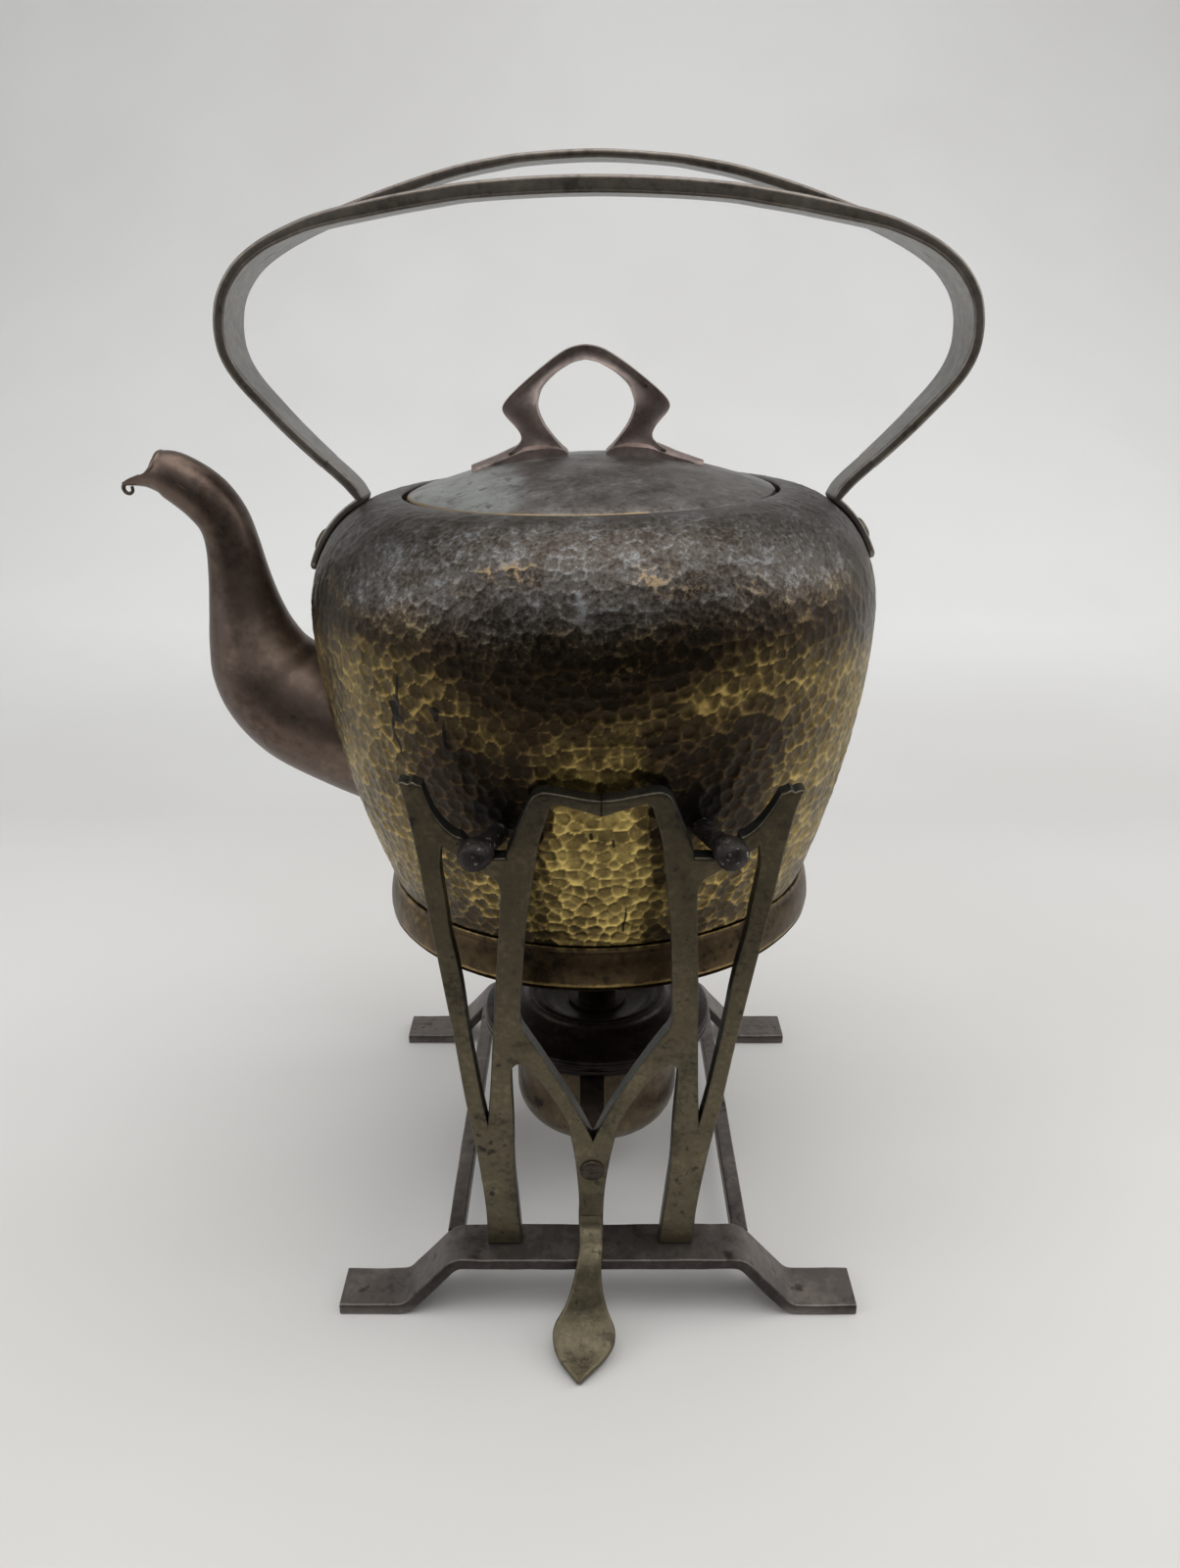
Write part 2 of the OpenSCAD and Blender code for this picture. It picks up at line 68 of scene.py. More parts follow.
def fillet(p, r, n=4, closed=False, least=15):
    """Rounds the corners of a line of 2-D points."""
    p = [np.array(q, float) for q in p]
    out = []
    m = len(p)
    for i in range(m):
        if not closed and i in (0, m - 1):
            out.append(p[i])
            continue
        a, b, c = p[i-1], p[i], p[(i+1) % m]
        u, v = a - b, c - b
        lu, lv = np.linalg.norm(u), np.linalg.norm(v)
        if lu < 1e-6 or lv < 1e-6:
            continue
        u, v = u / lu, v / lv
        ang = math.acos(max(-1, min(1, float(u @ v))))
        if math.degrees(math.pi - ang) < least:
            out.append(b)
            continue
        rr = r[i] if hasattr(r, "__len__") else r
        cut = min(rr / math.tan(ang / 2), lu * 0.45, lv * 0.45)
        s, e = b + u * cut, b + v * cut
        for k in range(n + 1):
            t = k / n
            out.append((1-t)**2 * s + 2*t*(1-t) * b + t*t * e)
    return np.array(out)


def hang(V):
    """The kettle's lean of 1.2 degrees towards its spout."""
    V = np.array(V, float)
    x, z = V[..., 0].copy(), V[..., 2] - 140
    V[..., 0] = x * math.cos(HANG) - z * math.sin(HANG)
    V[..., 2] = 140 + x * math.sin(HANG) + z * math.cos(HANG)
    return V


def lattice(n, seed):
    return np.random.default_rng(seed).uniform(-1, 1, (n, n, n))


LAT = lattice(32, 3)


def noise(P, size, seed=0):
    """Smooth value noise of P in mm, from -1 to 1, features about size mm across."""
    q = np.array(P, float) / size + 13.7 * (seed + 1)
    i = np.floor(q).astype(int)
    f = q - i
    f = f * f * (3 - 2 * f)
    out = 0
    for dx in (0, 1):
        for dy in (0, 1):
            for dz in (0, 1):
                w = (f[..., 0] if dx else 1 - f[..., 0]) * (f[..., 1] if dy else 1 - f[..., 1]) * (f[..., 2] if dz else 1 - f[..., 2])
                out = out + w * LAT[(i[..., 0] + dx) % 32, (i[..., 1] + dy) % 32, (i[..., 2] + dz) % 32]
    return out


class Build:
    """Collects closed shells in mm, in the kettle's own axes."""

    def __init__(self):
        self.V, self.F, self.A, self.n = [], [], [], 0

    def add(self, V, quads, tris, a=None):
        V = np.array(V, float)
        vol = 0.0
        for f in (quads, tris):
            if len(f):
                f = np.asarray(f)
                vol += np.einsum("ij,ij->", V[f[:, 0]], np.cross(V[f[:, 1]], V[f[:, 2]]))
                if f.shape[1] == 4:
                    vol += np.einsum("ij,ij->", V[f[:, 0]], np.cross(V[f[:, 2]], V[f[:, 3]]))
        for f in (quads, tris):
            if len(f):
                f = np.asarray(f)
                self.F.append((f[:, ::-1] if vol < 0 else f) + self.n)
        self.V.append(V)
        self.A.append(np.zeros(len(V)) if a is None else np.asarray(a, float).ravel())
        self.n += len(V)

    def grid(self, P, a=None, ends="cap", wrap=False):
        """P is stations x ring x 3; each ring is closed. ends is not used; wrap joins the last station to the first,
        else the ends are capped.
        """
        P = np.array(P, float)
        m, n = P.shape[:2]
        V = P.reshape(-1, 3)
        a = np.zeros(m * n) if a is None else np.asarray(a, float).ravel()
        i = np.arange(m if wrap else m - 1)[:, None]
        j = np.arange(n)[None, :]
        i2, j2 = (i + 1) % m, (j + 1) % n
        quads = np.stack([i*n + j + 0*j, i*n + j2, i2*n + j2, i2*n + j], -1).reshape(-1, 4)
        tris = []
        if not wrap:
            for st, flip in ((0, False), (m - 1, True)):
                c = len(V)
                V = np.vstack([V, P[st].mean(0)])
                a = np.r_[a, a[st*n:(st+1)*n].mean()]
                jj = np.arange(n)
                t = np.stack([np.full(n, c), st*n + (jj+1) % n, st*n + jj], 1)
                tris.append(t[:, ::-1] if flip else t)
        self.add(V, quads, np.vstack(tris) if tris else np.zeros((0, 3), int), a)
        return self

    def revolve(self, prof, n=192, a=None, dr=None, place=None):
        """A profile of r, z round Z. It is closed: joined end to end, or capped where it starts and ends on the axis."""
        prof = np.array(prof, float)
        t = np.arange(n) * 2 * math.pi / n
        P = np.stack([prof[:, :1] * np.cos(t), prof[:, :1] * np.sin(t), np.repeat(prof[:, 1:2], n, 1)], -1)
        if dr is not None:
            P = dr(P)
        on_axis = prof[0, 0] < 1e-6
        if on_axis:
            core = P[1:-1]
            if place is not None:
                tips = place(np.array([P[0, 0], P[-1, 0]]))
                core = place(core)
            else:
                tips = np.array([P[0, 0], P[-1, 0]])
            m = len(core)
            V = np.vstack([core.reshape(-1, 3), tips])
            i, j = np.arange(m - 1)[:, None], np.arange(n)[None, :]
            j2 = (j + 1) % n
            quads = np.stack([i*n + j, i*n + j2, (i+1)*n + j2, (i+1)*n + j], -1).reshape(-1, 4)
            jj = np.arange(n)
            t0 = np.stack([np.full(n, m*n), (jj+1) % n, jj], 1)
            t1 = np.stack([np.full(n, m*n+1), (m-1)*n + jj, (m-1)*n + (jj+1) % n], 1)
            aa = None
            if a is not None:
                a = np.array(a, float)
                aa = np.r_[np.repeat(a[1:-1], n), a[0], a[-1]]
            self.add(V, quads, np.vstack([t0, t1]), aa)
        else:
            if place is not None:
                P = place(P)
            self.grid(P, None if a is None else np.repeat(np.array(a, float), n), wrap=True)
        return self

    def done(self, name, body, slot, mat, stands_for=(), sharp=48, weighted=True, more=None):
        V = np.vstack(self.V) * 0.001
        V[:, 0] += AX * 0.001
        quads = [f for f in self.F if f.shape[1] == 4]
        tris = [f for f in self.F if f.shape[1] == 3]
        q = np.vstack(quads) if quads else np.zeros((0, 4), int)
        t = np.vstack(tris) if tris else np.zeros((0, 3), int)
        me = bpy.data.meshes.new(name)
        me.vertices.add(len(V))
        me.vertices.foreach_set("co", V.astype(np.float32).ravel())
        loops = np.r_[q.ravel(), t.ravel()].astype(np.int32)
        me.loops.add(len(loops))
        me.loops.foreach_set("vertex_index", loops)
        starts = np.r_[np.arange(len(q)) * 4, len(q) * 4 + np.arange(len(t)) * 3].astype(np.int32)
        me.polygons.add(len(starts))
        me.polygons.foreach_set("loop_start", starts)
        me.update(calc_edges=True)
        me.validate()
        at = me.attributes.new("tone", "FLOAT", "POINT")
        A = np.concatenate(self.A).astype(np.float32)
        if len(at.data) == len(A):
            at.data.foreach_set("value", A)
        for key, val in (more or {}).items():
            me.attributes.new(key, "FLOAT", "POINT").data.foreach_set("value", np.asarray(val, np.float32).ravel())
        me.polygons.foreach_set("use_smooth", np.ones(len(me.polygons), bool))
        if sharp:
            me.set_sharp_from_angle(angle=math.radians(sharp))
        me.materials.append(mat)
        ob = bpy.data.objects.new(name, me)
        bpy.context.scene.collection.objects.link(ob)
        if weighted:
            w = ob.modifiers.new("even", "WEIGHTED_NORMAL")
            w.keep_sharp = True
        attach(ob, body)
        if stands_for:
            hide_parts(*stands_for)
        return ob


def rrect(h, w, r, n=4, r2=None):
    """Rounded rectangle ring: h thickness along the first axis, w along the second, centred."""
    r2 = r if r2 is None else r2
    pts = []
    for cx, cy, a0, rad in ((h/2, w/2, 0, r2), (-h/2, w/2, 90, r2), (-h/2, -w/2, 180, r), (h/2, -w/2, 270, r)):
        rad = min(rad, h/2 - 0.01, w/2 - 0.01)
        x0, y0 = cx - math.copysign(rad, cx), cy - math.copysign(rad, cy)
        for k in range(n + 1):
            a = math.radians(a0 + 90 * k / n)
            pts.append([x0 + rad * math.cos(a), y0 + rad * math.sin(a)])
    return np.array(pts)


def sides(L):
    """Unit normals of a 2-D line, to its left."""
    d = np.gradient(L, axis=0)
    d /= np.linalg.norm(d, axis=1)[:, None]
    return np.stack([-d[:, 1], d[:, 0]], 1)


# ------------------------------------------------------------------ materials
def nd(nt, kind, **kw):
    n = nt.nodes.new(kind)
    for k, v in kw.items():
        setattr(n, k, v)
    return n


def ramp(nt, src, stops, interp="EASE"):
    r = nd(nt, "ShaderNodeValToRGB")
    r.color_ramp.interpolation = interp
    e = r.color_ramp.elements
    while len(e) < len(stops):
        e.new(0.5)
    for x, (pos, col) in zip(e, stops):
        x.position = pos
        x.color = (*col, 1) if len(col) == 3 else col
    nt.links.new(src, r.inputs[0])
    return r.outputs[0]


def grey(v):
    return (v, v, v)


def tex(nt, vec, scale, detail=4, rough=0.55, dist=0.0):
    t = nd(nt, "ShaderNodeTexNoise")
    t.inputs["Scale"].default_value = scale
    t.inputs["Detail"].default_value = detail
    t.inputs["Roughness"].default_value = rough
    t.inputs["Distortion"].default_value = dist
    nt.links.new(vec, t.inputs["Vector"])
    return t.outputs["Fac"]


def mixc(nt, fac, a, b, kind="MIX"):
    m = nd(nt, "ShaderNodeMix", data_type="RGBA", blend_type=kind)
    for sock, v in ((m.inputs[0], fac), (m.inputs[6], a), (m.inputs[7], b)):
        if isinstance(v, (int, float)):
            sock.default_value = v
        elif isinstance(v, tuple):
            sock.default_value = (*v, 1)
        else:
            nt.links.new(v, sock)
    return m.outputs[2]


def mth(nt, op, a, b=None, c=None, clamp=False):
    m = nd(nt, "ShaderNodeMath", operation=op)
    m.use_clamp = clamp
    for k, v in enumerate((a, b, c)):
        if v is None:
            continue
        if isinstance(v, (int, float)):
            m.inputs[k].default_value = v
        else:
            nt.links.new(v, m.inputs[k])
    return m.outputs[0]


def remap(nt, v, a, b, c=0.0, d=1.0, smooth=True):
    m = nd(nt, "ShaderNodeMapRange")
    m.interpolation_type = "SMOOTHSTEP" if smooth else "LINEAR"
    nt.links.new(v, m.inputs["Value"])
    for k, x in (("From Min", a), ("From Max", b), ("To Min", c), ("To Max", d)):
        m.inputs[k].default_value = x
    return m.outputs["Result"]


def start(name):
    mat = bpy.data.materials.new(name)
    mat.use_nodes = True
    nt = mat.node_tree
    nt.nodes.clear()
    out = nd(nt, "ShaderNodeOutputMaterial")
    b = nd(nt, "ShaderNodeBsdfPrincipled")
    nt.links.new(b.outputs[0], out.inputs[0])
    co = nd(nt, "ShaderNodeTexCoord").outputs["Object"]
    return mat, nt, b, co


def attr(nt, name):
    return nd(nt, "ShaderNodeAttribute", attribute_name=name).outputs["Fac"]


def patina(name, dark, mid, light, spots=None, metallic=0.9, rough=(0.3, 0.5), big=28, fine=420, bump=0.25, grain=1400,
           spot_at=(0.62, 0.72), edge=None, edge_gain=1.0, side=None, fade=None, notch_line=None):
    """Old tarnished metal: broad clouds between three colours, fine mottling, dark or pale spots, worn places where tone is high."""
    mat, nt, b, co = start(name)
    clouds = tex(nt, co, big, 6, 0.6, 0.4)
    mott = tex(nt, co, fine, 5, 0.65)
    f = mth(nt, "ADD", mth(nt, "MULTIPLY", clouds, 0.62), mth(nt, "MULTIPLY", mott, 0.38))
    col = ramp(nt, f, [(0.36, dark), (0.5, mid), (0.66, light)])
    if fade is not None:                                     # darker with height: from, to, colour factor
        sep = nd(nt, "ShaderNodeSeparateXYZ")
        nt.links.new(co, sep.inputs[0])
        h = mth(nt, "ADD", sep.outputs[2], mth(nt, "MULTIPLY", mth(nt, "SUBTRACT", clouds, 0.5), 0.07))
        col = mixc(nt, remap(nt, h, fade[0], fade[1]), col, mixc(nt, 1.0, col, fade[2], "MULTIPLY"))
    if notch_line is not None:                                     # dark line down the frame's centre at its top notch: in the plane x = first + second * z, above the third number
        sep = nd(nt, "ShaderNodeSeparateXYZ")
        nt.links.new(co, sep.inputs[0])
        off = mth(nt, "ABSOLUTE", mth(nt, "SUBTRACT", mth(nt, "SUBTRACT", sep.outputs[0], mth(nt, "MULTIPLY", sep.outputs[2], notch_line[1])), notch_line[0]))
        line = mth(nt, "MULTIPLY", remap(nt, off, 0.00042, 0.00012), remap(nt, sep.outputs[2], notch_line[2], notch_line[2] + 0.002))
        notch_line_f = mth(nt, "MULTIPLY", line, 0.85)
    if side is not None:                                     # faces marked by cut: on the frames and strips the edge faces, painted darker as shade; on the handle the inner face, greyer
        col = mixc(nt, attr(nt, "cut"), col, ramp(nt, f, [(0.36, side[0]), (0.64, side[1])]))
    tone = attr(nt, "tone")
    if edge is not None:
        worn = mth(nt, "MULTIPLY", remap(nt, mth(nt, "ADD", mth(nt, "MULTIPLY", tone, edge_gain), mth(nt, "MULTIPLY", mott, 0.55)), 0.62, 0.95), 1.0)
        col = mixc(nt, worn, col, edge)
    if spots is not None:
        sp = tex(nt, co, fine * 0.45, 3, 0.5)
        col = mixc(nt, remap(nt, sp, spot_at[0], spot_at[1]), col, spots)
    if notch_line is not None:
        col = mixc(nt, notch_line_f, col, (0.008, 0.007, 0.006))
    nt.links.new(col, b.inputs["Base Color"])
    b.inputs["Metallic"].default_value = metallic
    r = mth(nt, "ADD", mth(nt, "MULTIPLY", clouds, 0.5), mth(nt, "MULTIPLY", tex(nt, co, grain, 3, 0.6), 0.5))
    nt.links.new(remap(nt, r, 0.3, 0.7, rough[0], rough[1], False), b.inputs["Roughness"])
    bm = nd(nt, "ShaderNodeBump")
    bm.inputs["Strength"].default_value = bump
    bm.inputs["Distance"].default_value = 0.0004
    h = mth(nt, "ADD", mth(nt, "MULTIPLY", tex(nt, co, grain * 0.35, 4, 0.6), 0.6), mth(nt, "MULTIPLY", mott, 0.7))
    nt.links.new(h, bm.inputs["Height"])
    nt.links.new(bm.outputs[0], b.inputs["Normal"])
    return mat


def hammered(name):
    """Body: gold and brown hollows low down, the gold partly painted reflection of the pale floor; a near-black band
    above them, partly patina and partly painted shade; and a grey-brown shoulder.
    """
    mat, nt, b, co = start(name)
    mid = tex(nt, co, 90, 5, 0.6, 0.3)
    small = tex(nt, co, 260, 4, 0.6, 0.2)
    fine = tex(nt, co, 800, 4, 0.7)
    # gold is bright brass, partly painted reflection; soot holds soot and drip stains plus painted shade beside the
    # pegs and above the pan
    tone, gold, up, rub, soot = (attr(nt, k) for k in ("tone", "gold", "up", "rub", "soot"))
    t = mth(nt, "ADD", tone, mth(nt, "MULTIPLY", mth(nt, "SUBTRACT", fine, 0.5), 0.55))
    t = mth(nt, "ADD", t, mth(nt, "MULTIPLY", mth(nt, "SUBTRACT", small, 0.5), 0.5), clamp=True)
    g = mth(nt, "ADD", gold, mth(nt, "MULTIPLY", mth(nt, "SUBTRACT", mid, 0.5), 0.5), clamp=True)
    pit = ramp(nt, g, [(0.0, (0.022, 0.0158, 0.0105)), (0.3, (0.034, 0.0232, 0.0125)), (0.62, (0.044, 0.03, 0.0135)), (1.0, (0.105, 0.073, 0.026))], "LINEAR")
    rdg = ramp(nt, g, [(0.0, (0.1, 0.064, 0.031)), (0.3, (0.24, 0.165, 0.062)), (0.62, (0.57, 0.41, 0.135)), (1.0, (0.82, 0.625, 0.205))], "LINEAR")
    te = mth(nt, "POWER", t, mth(nt, "SUBTRACT", 2.3, mth(nt, "MULTIPLY", g, 1.0)))
    col = mixc(nt, te, pit, rdg)
    # shoulder: brown-grey patina with a fine pale speckle that is painted sheen
    k = mth(nt, "ADD", mth(nt, "MULTIPLY", mid, 0.42), mth(nt, "MULTIPLY", fine, 0.56))
    k = mth(nt, "ADD", k, mth(nt, "MULTIPLY", mth(nt, "SUBTRACT", tone, 0.42), 0.15))
    top = ramp(nt, k, [(0.38, (0.04, 0.03, 0.022)), (0.5, (0.09, 0.079, 0.07)), (0.61, (0.18, 0.18, 0.181))])
    # brown and bronze cloud between the band and the shoulder
    brown = ramp(nt, k, [(0.38, (0.022, 0.016, 0.011)), (0.5, (0.062, 0.045, 0.028)), (0.62, (0.2, 0.15, 0.085))])
    col = mixc(nt, remap(nt, up, 0.0, 0.42), col, brown)
    col = mixc(nt, remap(nt, up, 0.35, 1.0), col, top)
    # rubbed brassy spots where the wall turns into the shoulder
    rn = mth(nt, "ADD", tone, mth(nt, "ADD", mth(nt, "MULTIPLY", mth(nt, "SUBTRACT", fine, 0.5), 2.6), mth(nt, "MULTIPLY", mth(nt, "SUBTRACT", small, 0.5), 1.1)))
    rb = mth(nt, "MULTIPLY", remap(nt, rn, 0.3, 0.9), remap(nt, mth(nt, "ADD", rub, mth(nt, "MULTIPLY", mth(nt, "SUBTRACT", small, 0.5), 0.7)), 0.2, 0.95))
    col = mixc(nt, mth(nt, "MULTIPLY", rb, 0.62), col, (0.36, 0.235, 0.09))
    # soot and drip stains, plus painted shade: dark patches beside the pegs and the dark foot in the gap above the pan
    soot_and_shade_mask = remap(nt, mth(nt, "ADD", soot, mth(nt, "MULTIPLY", mth(nt, "SUBTRACT", small, 0.5), 0.7)), 0.35, 0.75)
    col = mixc(nt, mth(nt, "MULTIPLY", soot_and_shade_mask, 0.88), col, (0.012, 0.011, 0.011))
    nt.links.new(col, b.inputs["Base Color"])
    b.inputs["Metallic"].default_value = 0.92
    r = mth(nt, "ADD", mth(nt, "MULTIPLY", up, 0.1), 0.34)
    r = mth(nt, "ADD", r, mth(nt, "MULTIPLY", soot_and_shade_mask, 0.12))
    r = mth(nt, "ADD", r, mth(nt, "MULTIPLY", mth(nt, "SUBTRACT", fine, 0.5), 0.35))
    nt.links.new(r, b.inputs["Roughness"])
    bm = nd(nt, "ShaderNodeBump")
    bm.inputs["Strength"].default_value = 0.45
    bm.inputs["Distance"].default_value = 0.0003
    nt.links.new(mth(nt, "ADD", fine, mth(nt, "MULTIPLY", mid, 1.5)), bm.inputs["Height"])
    nt.links.new(bm.outputs[0], b.inputs["Normal"])
    return mat


M = {}
M["body"] = hammered("hammered_brass")
M["pan"] = patina("pan_brass", (0.02, 0.0135, 0.0085), (0.08, 0.054, 0.027), (0.24, 0.165, 0.072), spots=(0.02, 0.016, 0.013), edge=(0.38, 0.26, 0.09), edge_gain=0.6, big=22, fine=300, rough=(0.3, 0.5))
M["spout"] = patina("spout_copper", (0.085, 0.058, 0.045), (0.138, 0.1, 0.08), (0.215, 0.16, 0.125), spots=(0.06, 0.05, 0.045), spot_at=(0.66, 0.8), edge=(0.3, 0.24, 0.205), edge_gain=0.6, big=24, fine=260, rough=(0.33, 0.47), bump=0.06)
M["handle"] = patina("handle_bronze", (0.122, 0.104, 0.092), (0.21, 0.184, 0.164), (0.315, 0.285, 0.258), spots=(0.06, 0.054, 0.05), spot_at=(0.7, 0.84), edge=(0.27, 0.225, 0.155), edge_gain=0.5, big=40, fine=350, rough=(0.3, 0.5), bump=0.2, side=((0.15, 0.145, 0.135), (0.3, 0.295, 0.28)))
M["lid"] = None
M["knob"] = patina("knob_copper", (0.2, 0.158, 0.145), (0.35, 0.278, 0.252), (0.49, 0.4, 0.362), spots=(0.07, 0.055, 0.05), spot_at=(0.68, 0.8), edge=(0.4, 0.255, 0.17), edge_gain=0.55, big=55, fine=420, rough=(0.36, 0.52), bump=0.12)
M["peg"] = patina("peg_iron", (0.012, 0.0095, 0.0085), (0.027, 0.0218, 0.0192), (0.068, 0.057, 0.05), spots=(0.3, 0.3, 0.29), spot_at=(0.61, 0.75), metallic=0.7, big=150, fine=900, rough=(0.32, 0.58), bump=0.9)
# frame: the side colours are painted shade on the edge faces
M["frame"] = patina("frame_brass", (0.062, 0.052, 0.036), (0.12, 0.102, 0.066), (0.2, 0.17, 0.106), spots=(0.035, 0.03, 0.025), spot_at=(0.62, 0.74), edge=(0.25, 0.21, 0.125), edge_gain=0.58, big=60, fine=520, rough=(0.32, 0.52), bump=0.4,
                    side=((0.027, 0.0275, 0.024), (0.062, 0.062, 0.053)), fade=(0.07, 0.155, (0.6, 0.58, 0.58)), notch_line=(0.001 * (AX - 2.5 - 0.0185 * 22.4), 0.0185, 0.172))
# strip: the side colours are painted shade on the edge faces
M["strip"] = patina("strip_copper", (0.095, 0.08, 0.072), (0.155, 0.135, 0.122), (0.24, 0.21, 0.19), spots=(0.06, 0.048, 0.042), spot_at=(0.6, 0.75), edge=(0.3, 0.26, 0.225), edge_gain=0.5, big=45, fine=380, rough=(0.34, 0.54), bump=0.35, side=((0.032, 0.026, 0.024), (0.07, 0.058, 0.053)))
# the burner's near-black colours are painted shade, for the kettle's shadow it sits in
M["burner"] = patina("burner_bronze", (0.016, 0.0125, 0.0115), (0.034, 0.026, 0.023), (0.075, 0.058, 0.048), spots=(0.02, 0.018, 0.018), edge=(0.12, 0.09, 0.065), edge_gain=0.55, big=45, fine=300, rough=(0.3, 0.5))
M["bowl"] = patina("bowl_brass", (0.07, 0.05, 0.034), (0.135, 0.103, 0.063), (0.23, 0.177, 0.1), spots=(0.05, 0.038, 0.034), big=32, fine=260, rough=(0.25, 0.42))
M["arm"] = patina("arm_bronze", (0.034, 0.026, 0.021), (0.07, 0.054, 0.042), (0.13, 0.1, 0.075), spots=(0.025, 0.02, 0.018), edge=(0.17, 0.13, 0.09), edge_gain=0.5, big=50, fine=320, rough=(0.32, 0.5))
M["plug"] = patina("plug_bronze", (0.03, 0.023, 0.018), (0.062, 0.049, 0.038), (0.12, 0.095, 0.068), spots=(0.02, 0.016, 0.014), edge=(0.2, 0.16, 0.1), edge_gain=0.5, big=160, fine=900, rough=(0.3, 0.5))
M["rivet"] = patina("rivet_brass", (0.06, 0.05, 0.036), (0.11, 0.092, 0.064), (0.19, 0.16, 0.105), spots=(0.04, 0.034, 0.028), big=160, fine=900, rough=(0.3, 0.5))


def lid_metal(name):
    """Lid: pale grey-green bloom on the spout's side, brown and purplish cloud elsewhere, fine pitting."""
    mat, nt, b, co = start(name)
    clouds = tex(nt, co, 34, 6, 0.62, 0.5)
    mid = tex(nt, co, 110, 5, 0.62, 0.3)
    fine = tex(nt, co, 620, 4, 0.7)
    tone = attr(nt, "tone")
    f = mth(nt, "ADD", mth(nt, "MULTIPLY", mid, 0.55), mth(nt, "MULTIPLY", fine, 0.45))
    pale = ramp(nt, f, [(0.38, (0.2, 0.205, 0.192)), (0.52, (0.335, 0.345, 0.33)), (0.66, (0.47, 0.48, 0.465))])
    dusk = ramp(nt, f, [(0.38, (0.07, 0.058, 0.052)), (0.52, (0.145, 0.13, 0.12)), (0.66, (0.26, 0.25, 0.24))])
    k = remap(nt, mth(nt, "ADD", attr(nt, "bloom"), mth(nt, "MULTIPLY", mth(nt, "SUBTRACT", clouds, 0.5), 1.9)), 0.3, 0.75)
    col = mixc(nt, k, dusk, pale)
    sp = tex(nt, co, 210, 3, 0.5)
    col = mixc(nt, mth(nt, "MULTIPLY", remap(nt, sp, 0.6, 0.7), 0.7), col, (0.07, 0.065, 0.055))
    worn = remap(nt, mth(nt, "ADD", mth(nt, "MULTIPLY", tone, 0.72), mth(nt, "ADD", mth(nt, "MULTIPLY", mid, 0.5), mth(nt, "MULTIPLY", fine, 0.35))), 0.88, 1.12)
    col = mixc(nt, worn, col, (0.3, 0.215, 0.115))
    nt.links.new(col, b.inputs["Base Color"])
    b.inputs["Metallic"].default_value = 0.82
    nt.links.new(remap(nt, mth(nt, "ADD", mth(nt, "MULTIPLY", clouds, 0.5), mth(nt, "MULTIPLY", fine, 0.5)), 0.3, 0.7, 0.34, 0.55, False), b.inputs["Roughness"])
    bm = nd(nt, "ShaderNodeBump")
    bm.inputs["Strength"].default_value = 0.35
    bm.inputs["Distance"].default_value = 0.0004
    nt.links.new(mth(nt, "ADD", fine, mth(nt, "MULTIPLY", mid, 1.2)), bm.inputs["Height"])
    nt.links.new(bm.outputs[0], b.inputs["Normal"])
    return mat


M["lid"] = lid_metal("lid_brass")


def cotton():
    mat, nt, b, co = start("wick_cotton")
    xyz = nd(nt, "ShaderNodeSeparateXYZ")
    nt.links.new(co, xyz.inputs[0])
    f = tex(nt, co, 1300, 4, 0.7)
    base = ramp(nt, f, [(0.35, (0.38, 0.34, 0.27)), (0.65, (0.66, 0.61, 0.52))])
    soot = remap(nt, mth(nt, "ADD", xyz.outputs[2], mth(nt, "MULTIPLY", f, 0.002)), 0.0705, 0.0745)
    nt.links.new(mixc(nt, soot, base, (0.03, 0.027, 0.025)), b.inputs["Base Color"])
    b.inputs["Roughness"].default_value = 0.95
    bm = nd(nt, "ShaderNodeBump")
    bm.inputs["Strength"].default_value = 0.6
    bm.inputs["Distance"].default_value = 0.0003
    nt.links.new(f, bm.inputs["Height"])
    nt.links.new(bm.outputs[0], b.inputs["Normal"])
    return mat


M["wick"] = cotton()

# ------------------------------------------------------------------ kettle body
BODY_R, BELLY_Z, SH, ELL_R = 90.6, 217.0, 36.0, 60.6
MOUTH_R, LEDGE = 59.6, 249.9


def wall_r(z):
    return BODY_R - 0.00743 * np.maximum(BELLY_Z - z, 0) ** 1.75


def shoulder(a, off=0.0):
    a = np.radians(a)
    return np.stack([ELL_R + (BODY_R - ELL_R + off) * np.cos(a), BELLY_Z + (SH + off) * np.sin(a)], -1)


zz = np.linspace(127.2, 217, 400)[:-1]
a_m = math.degrees(math.acos((MOUTH_R + 0.9 - ELL_R) / (BODY_R - ELL_R)))
outer = np.vstack([np.stack([wall_r(zz), zz], 1), shoulder(np.linspace(0, a_m, 300))])
mer = even(outer, 0.56)
NT = 1016
th = np.arange(NT) * 2 * math.pi / NT
seg = np.linalg.norm(np.diff(mer, axis=0), axis=1)
S = np.r_[0, np.cumsum(seg)]
nm = -sides(mer)                       # outward normal in r, z
if nm[len(nm)//2, 0] < 0:
    nm = -nm


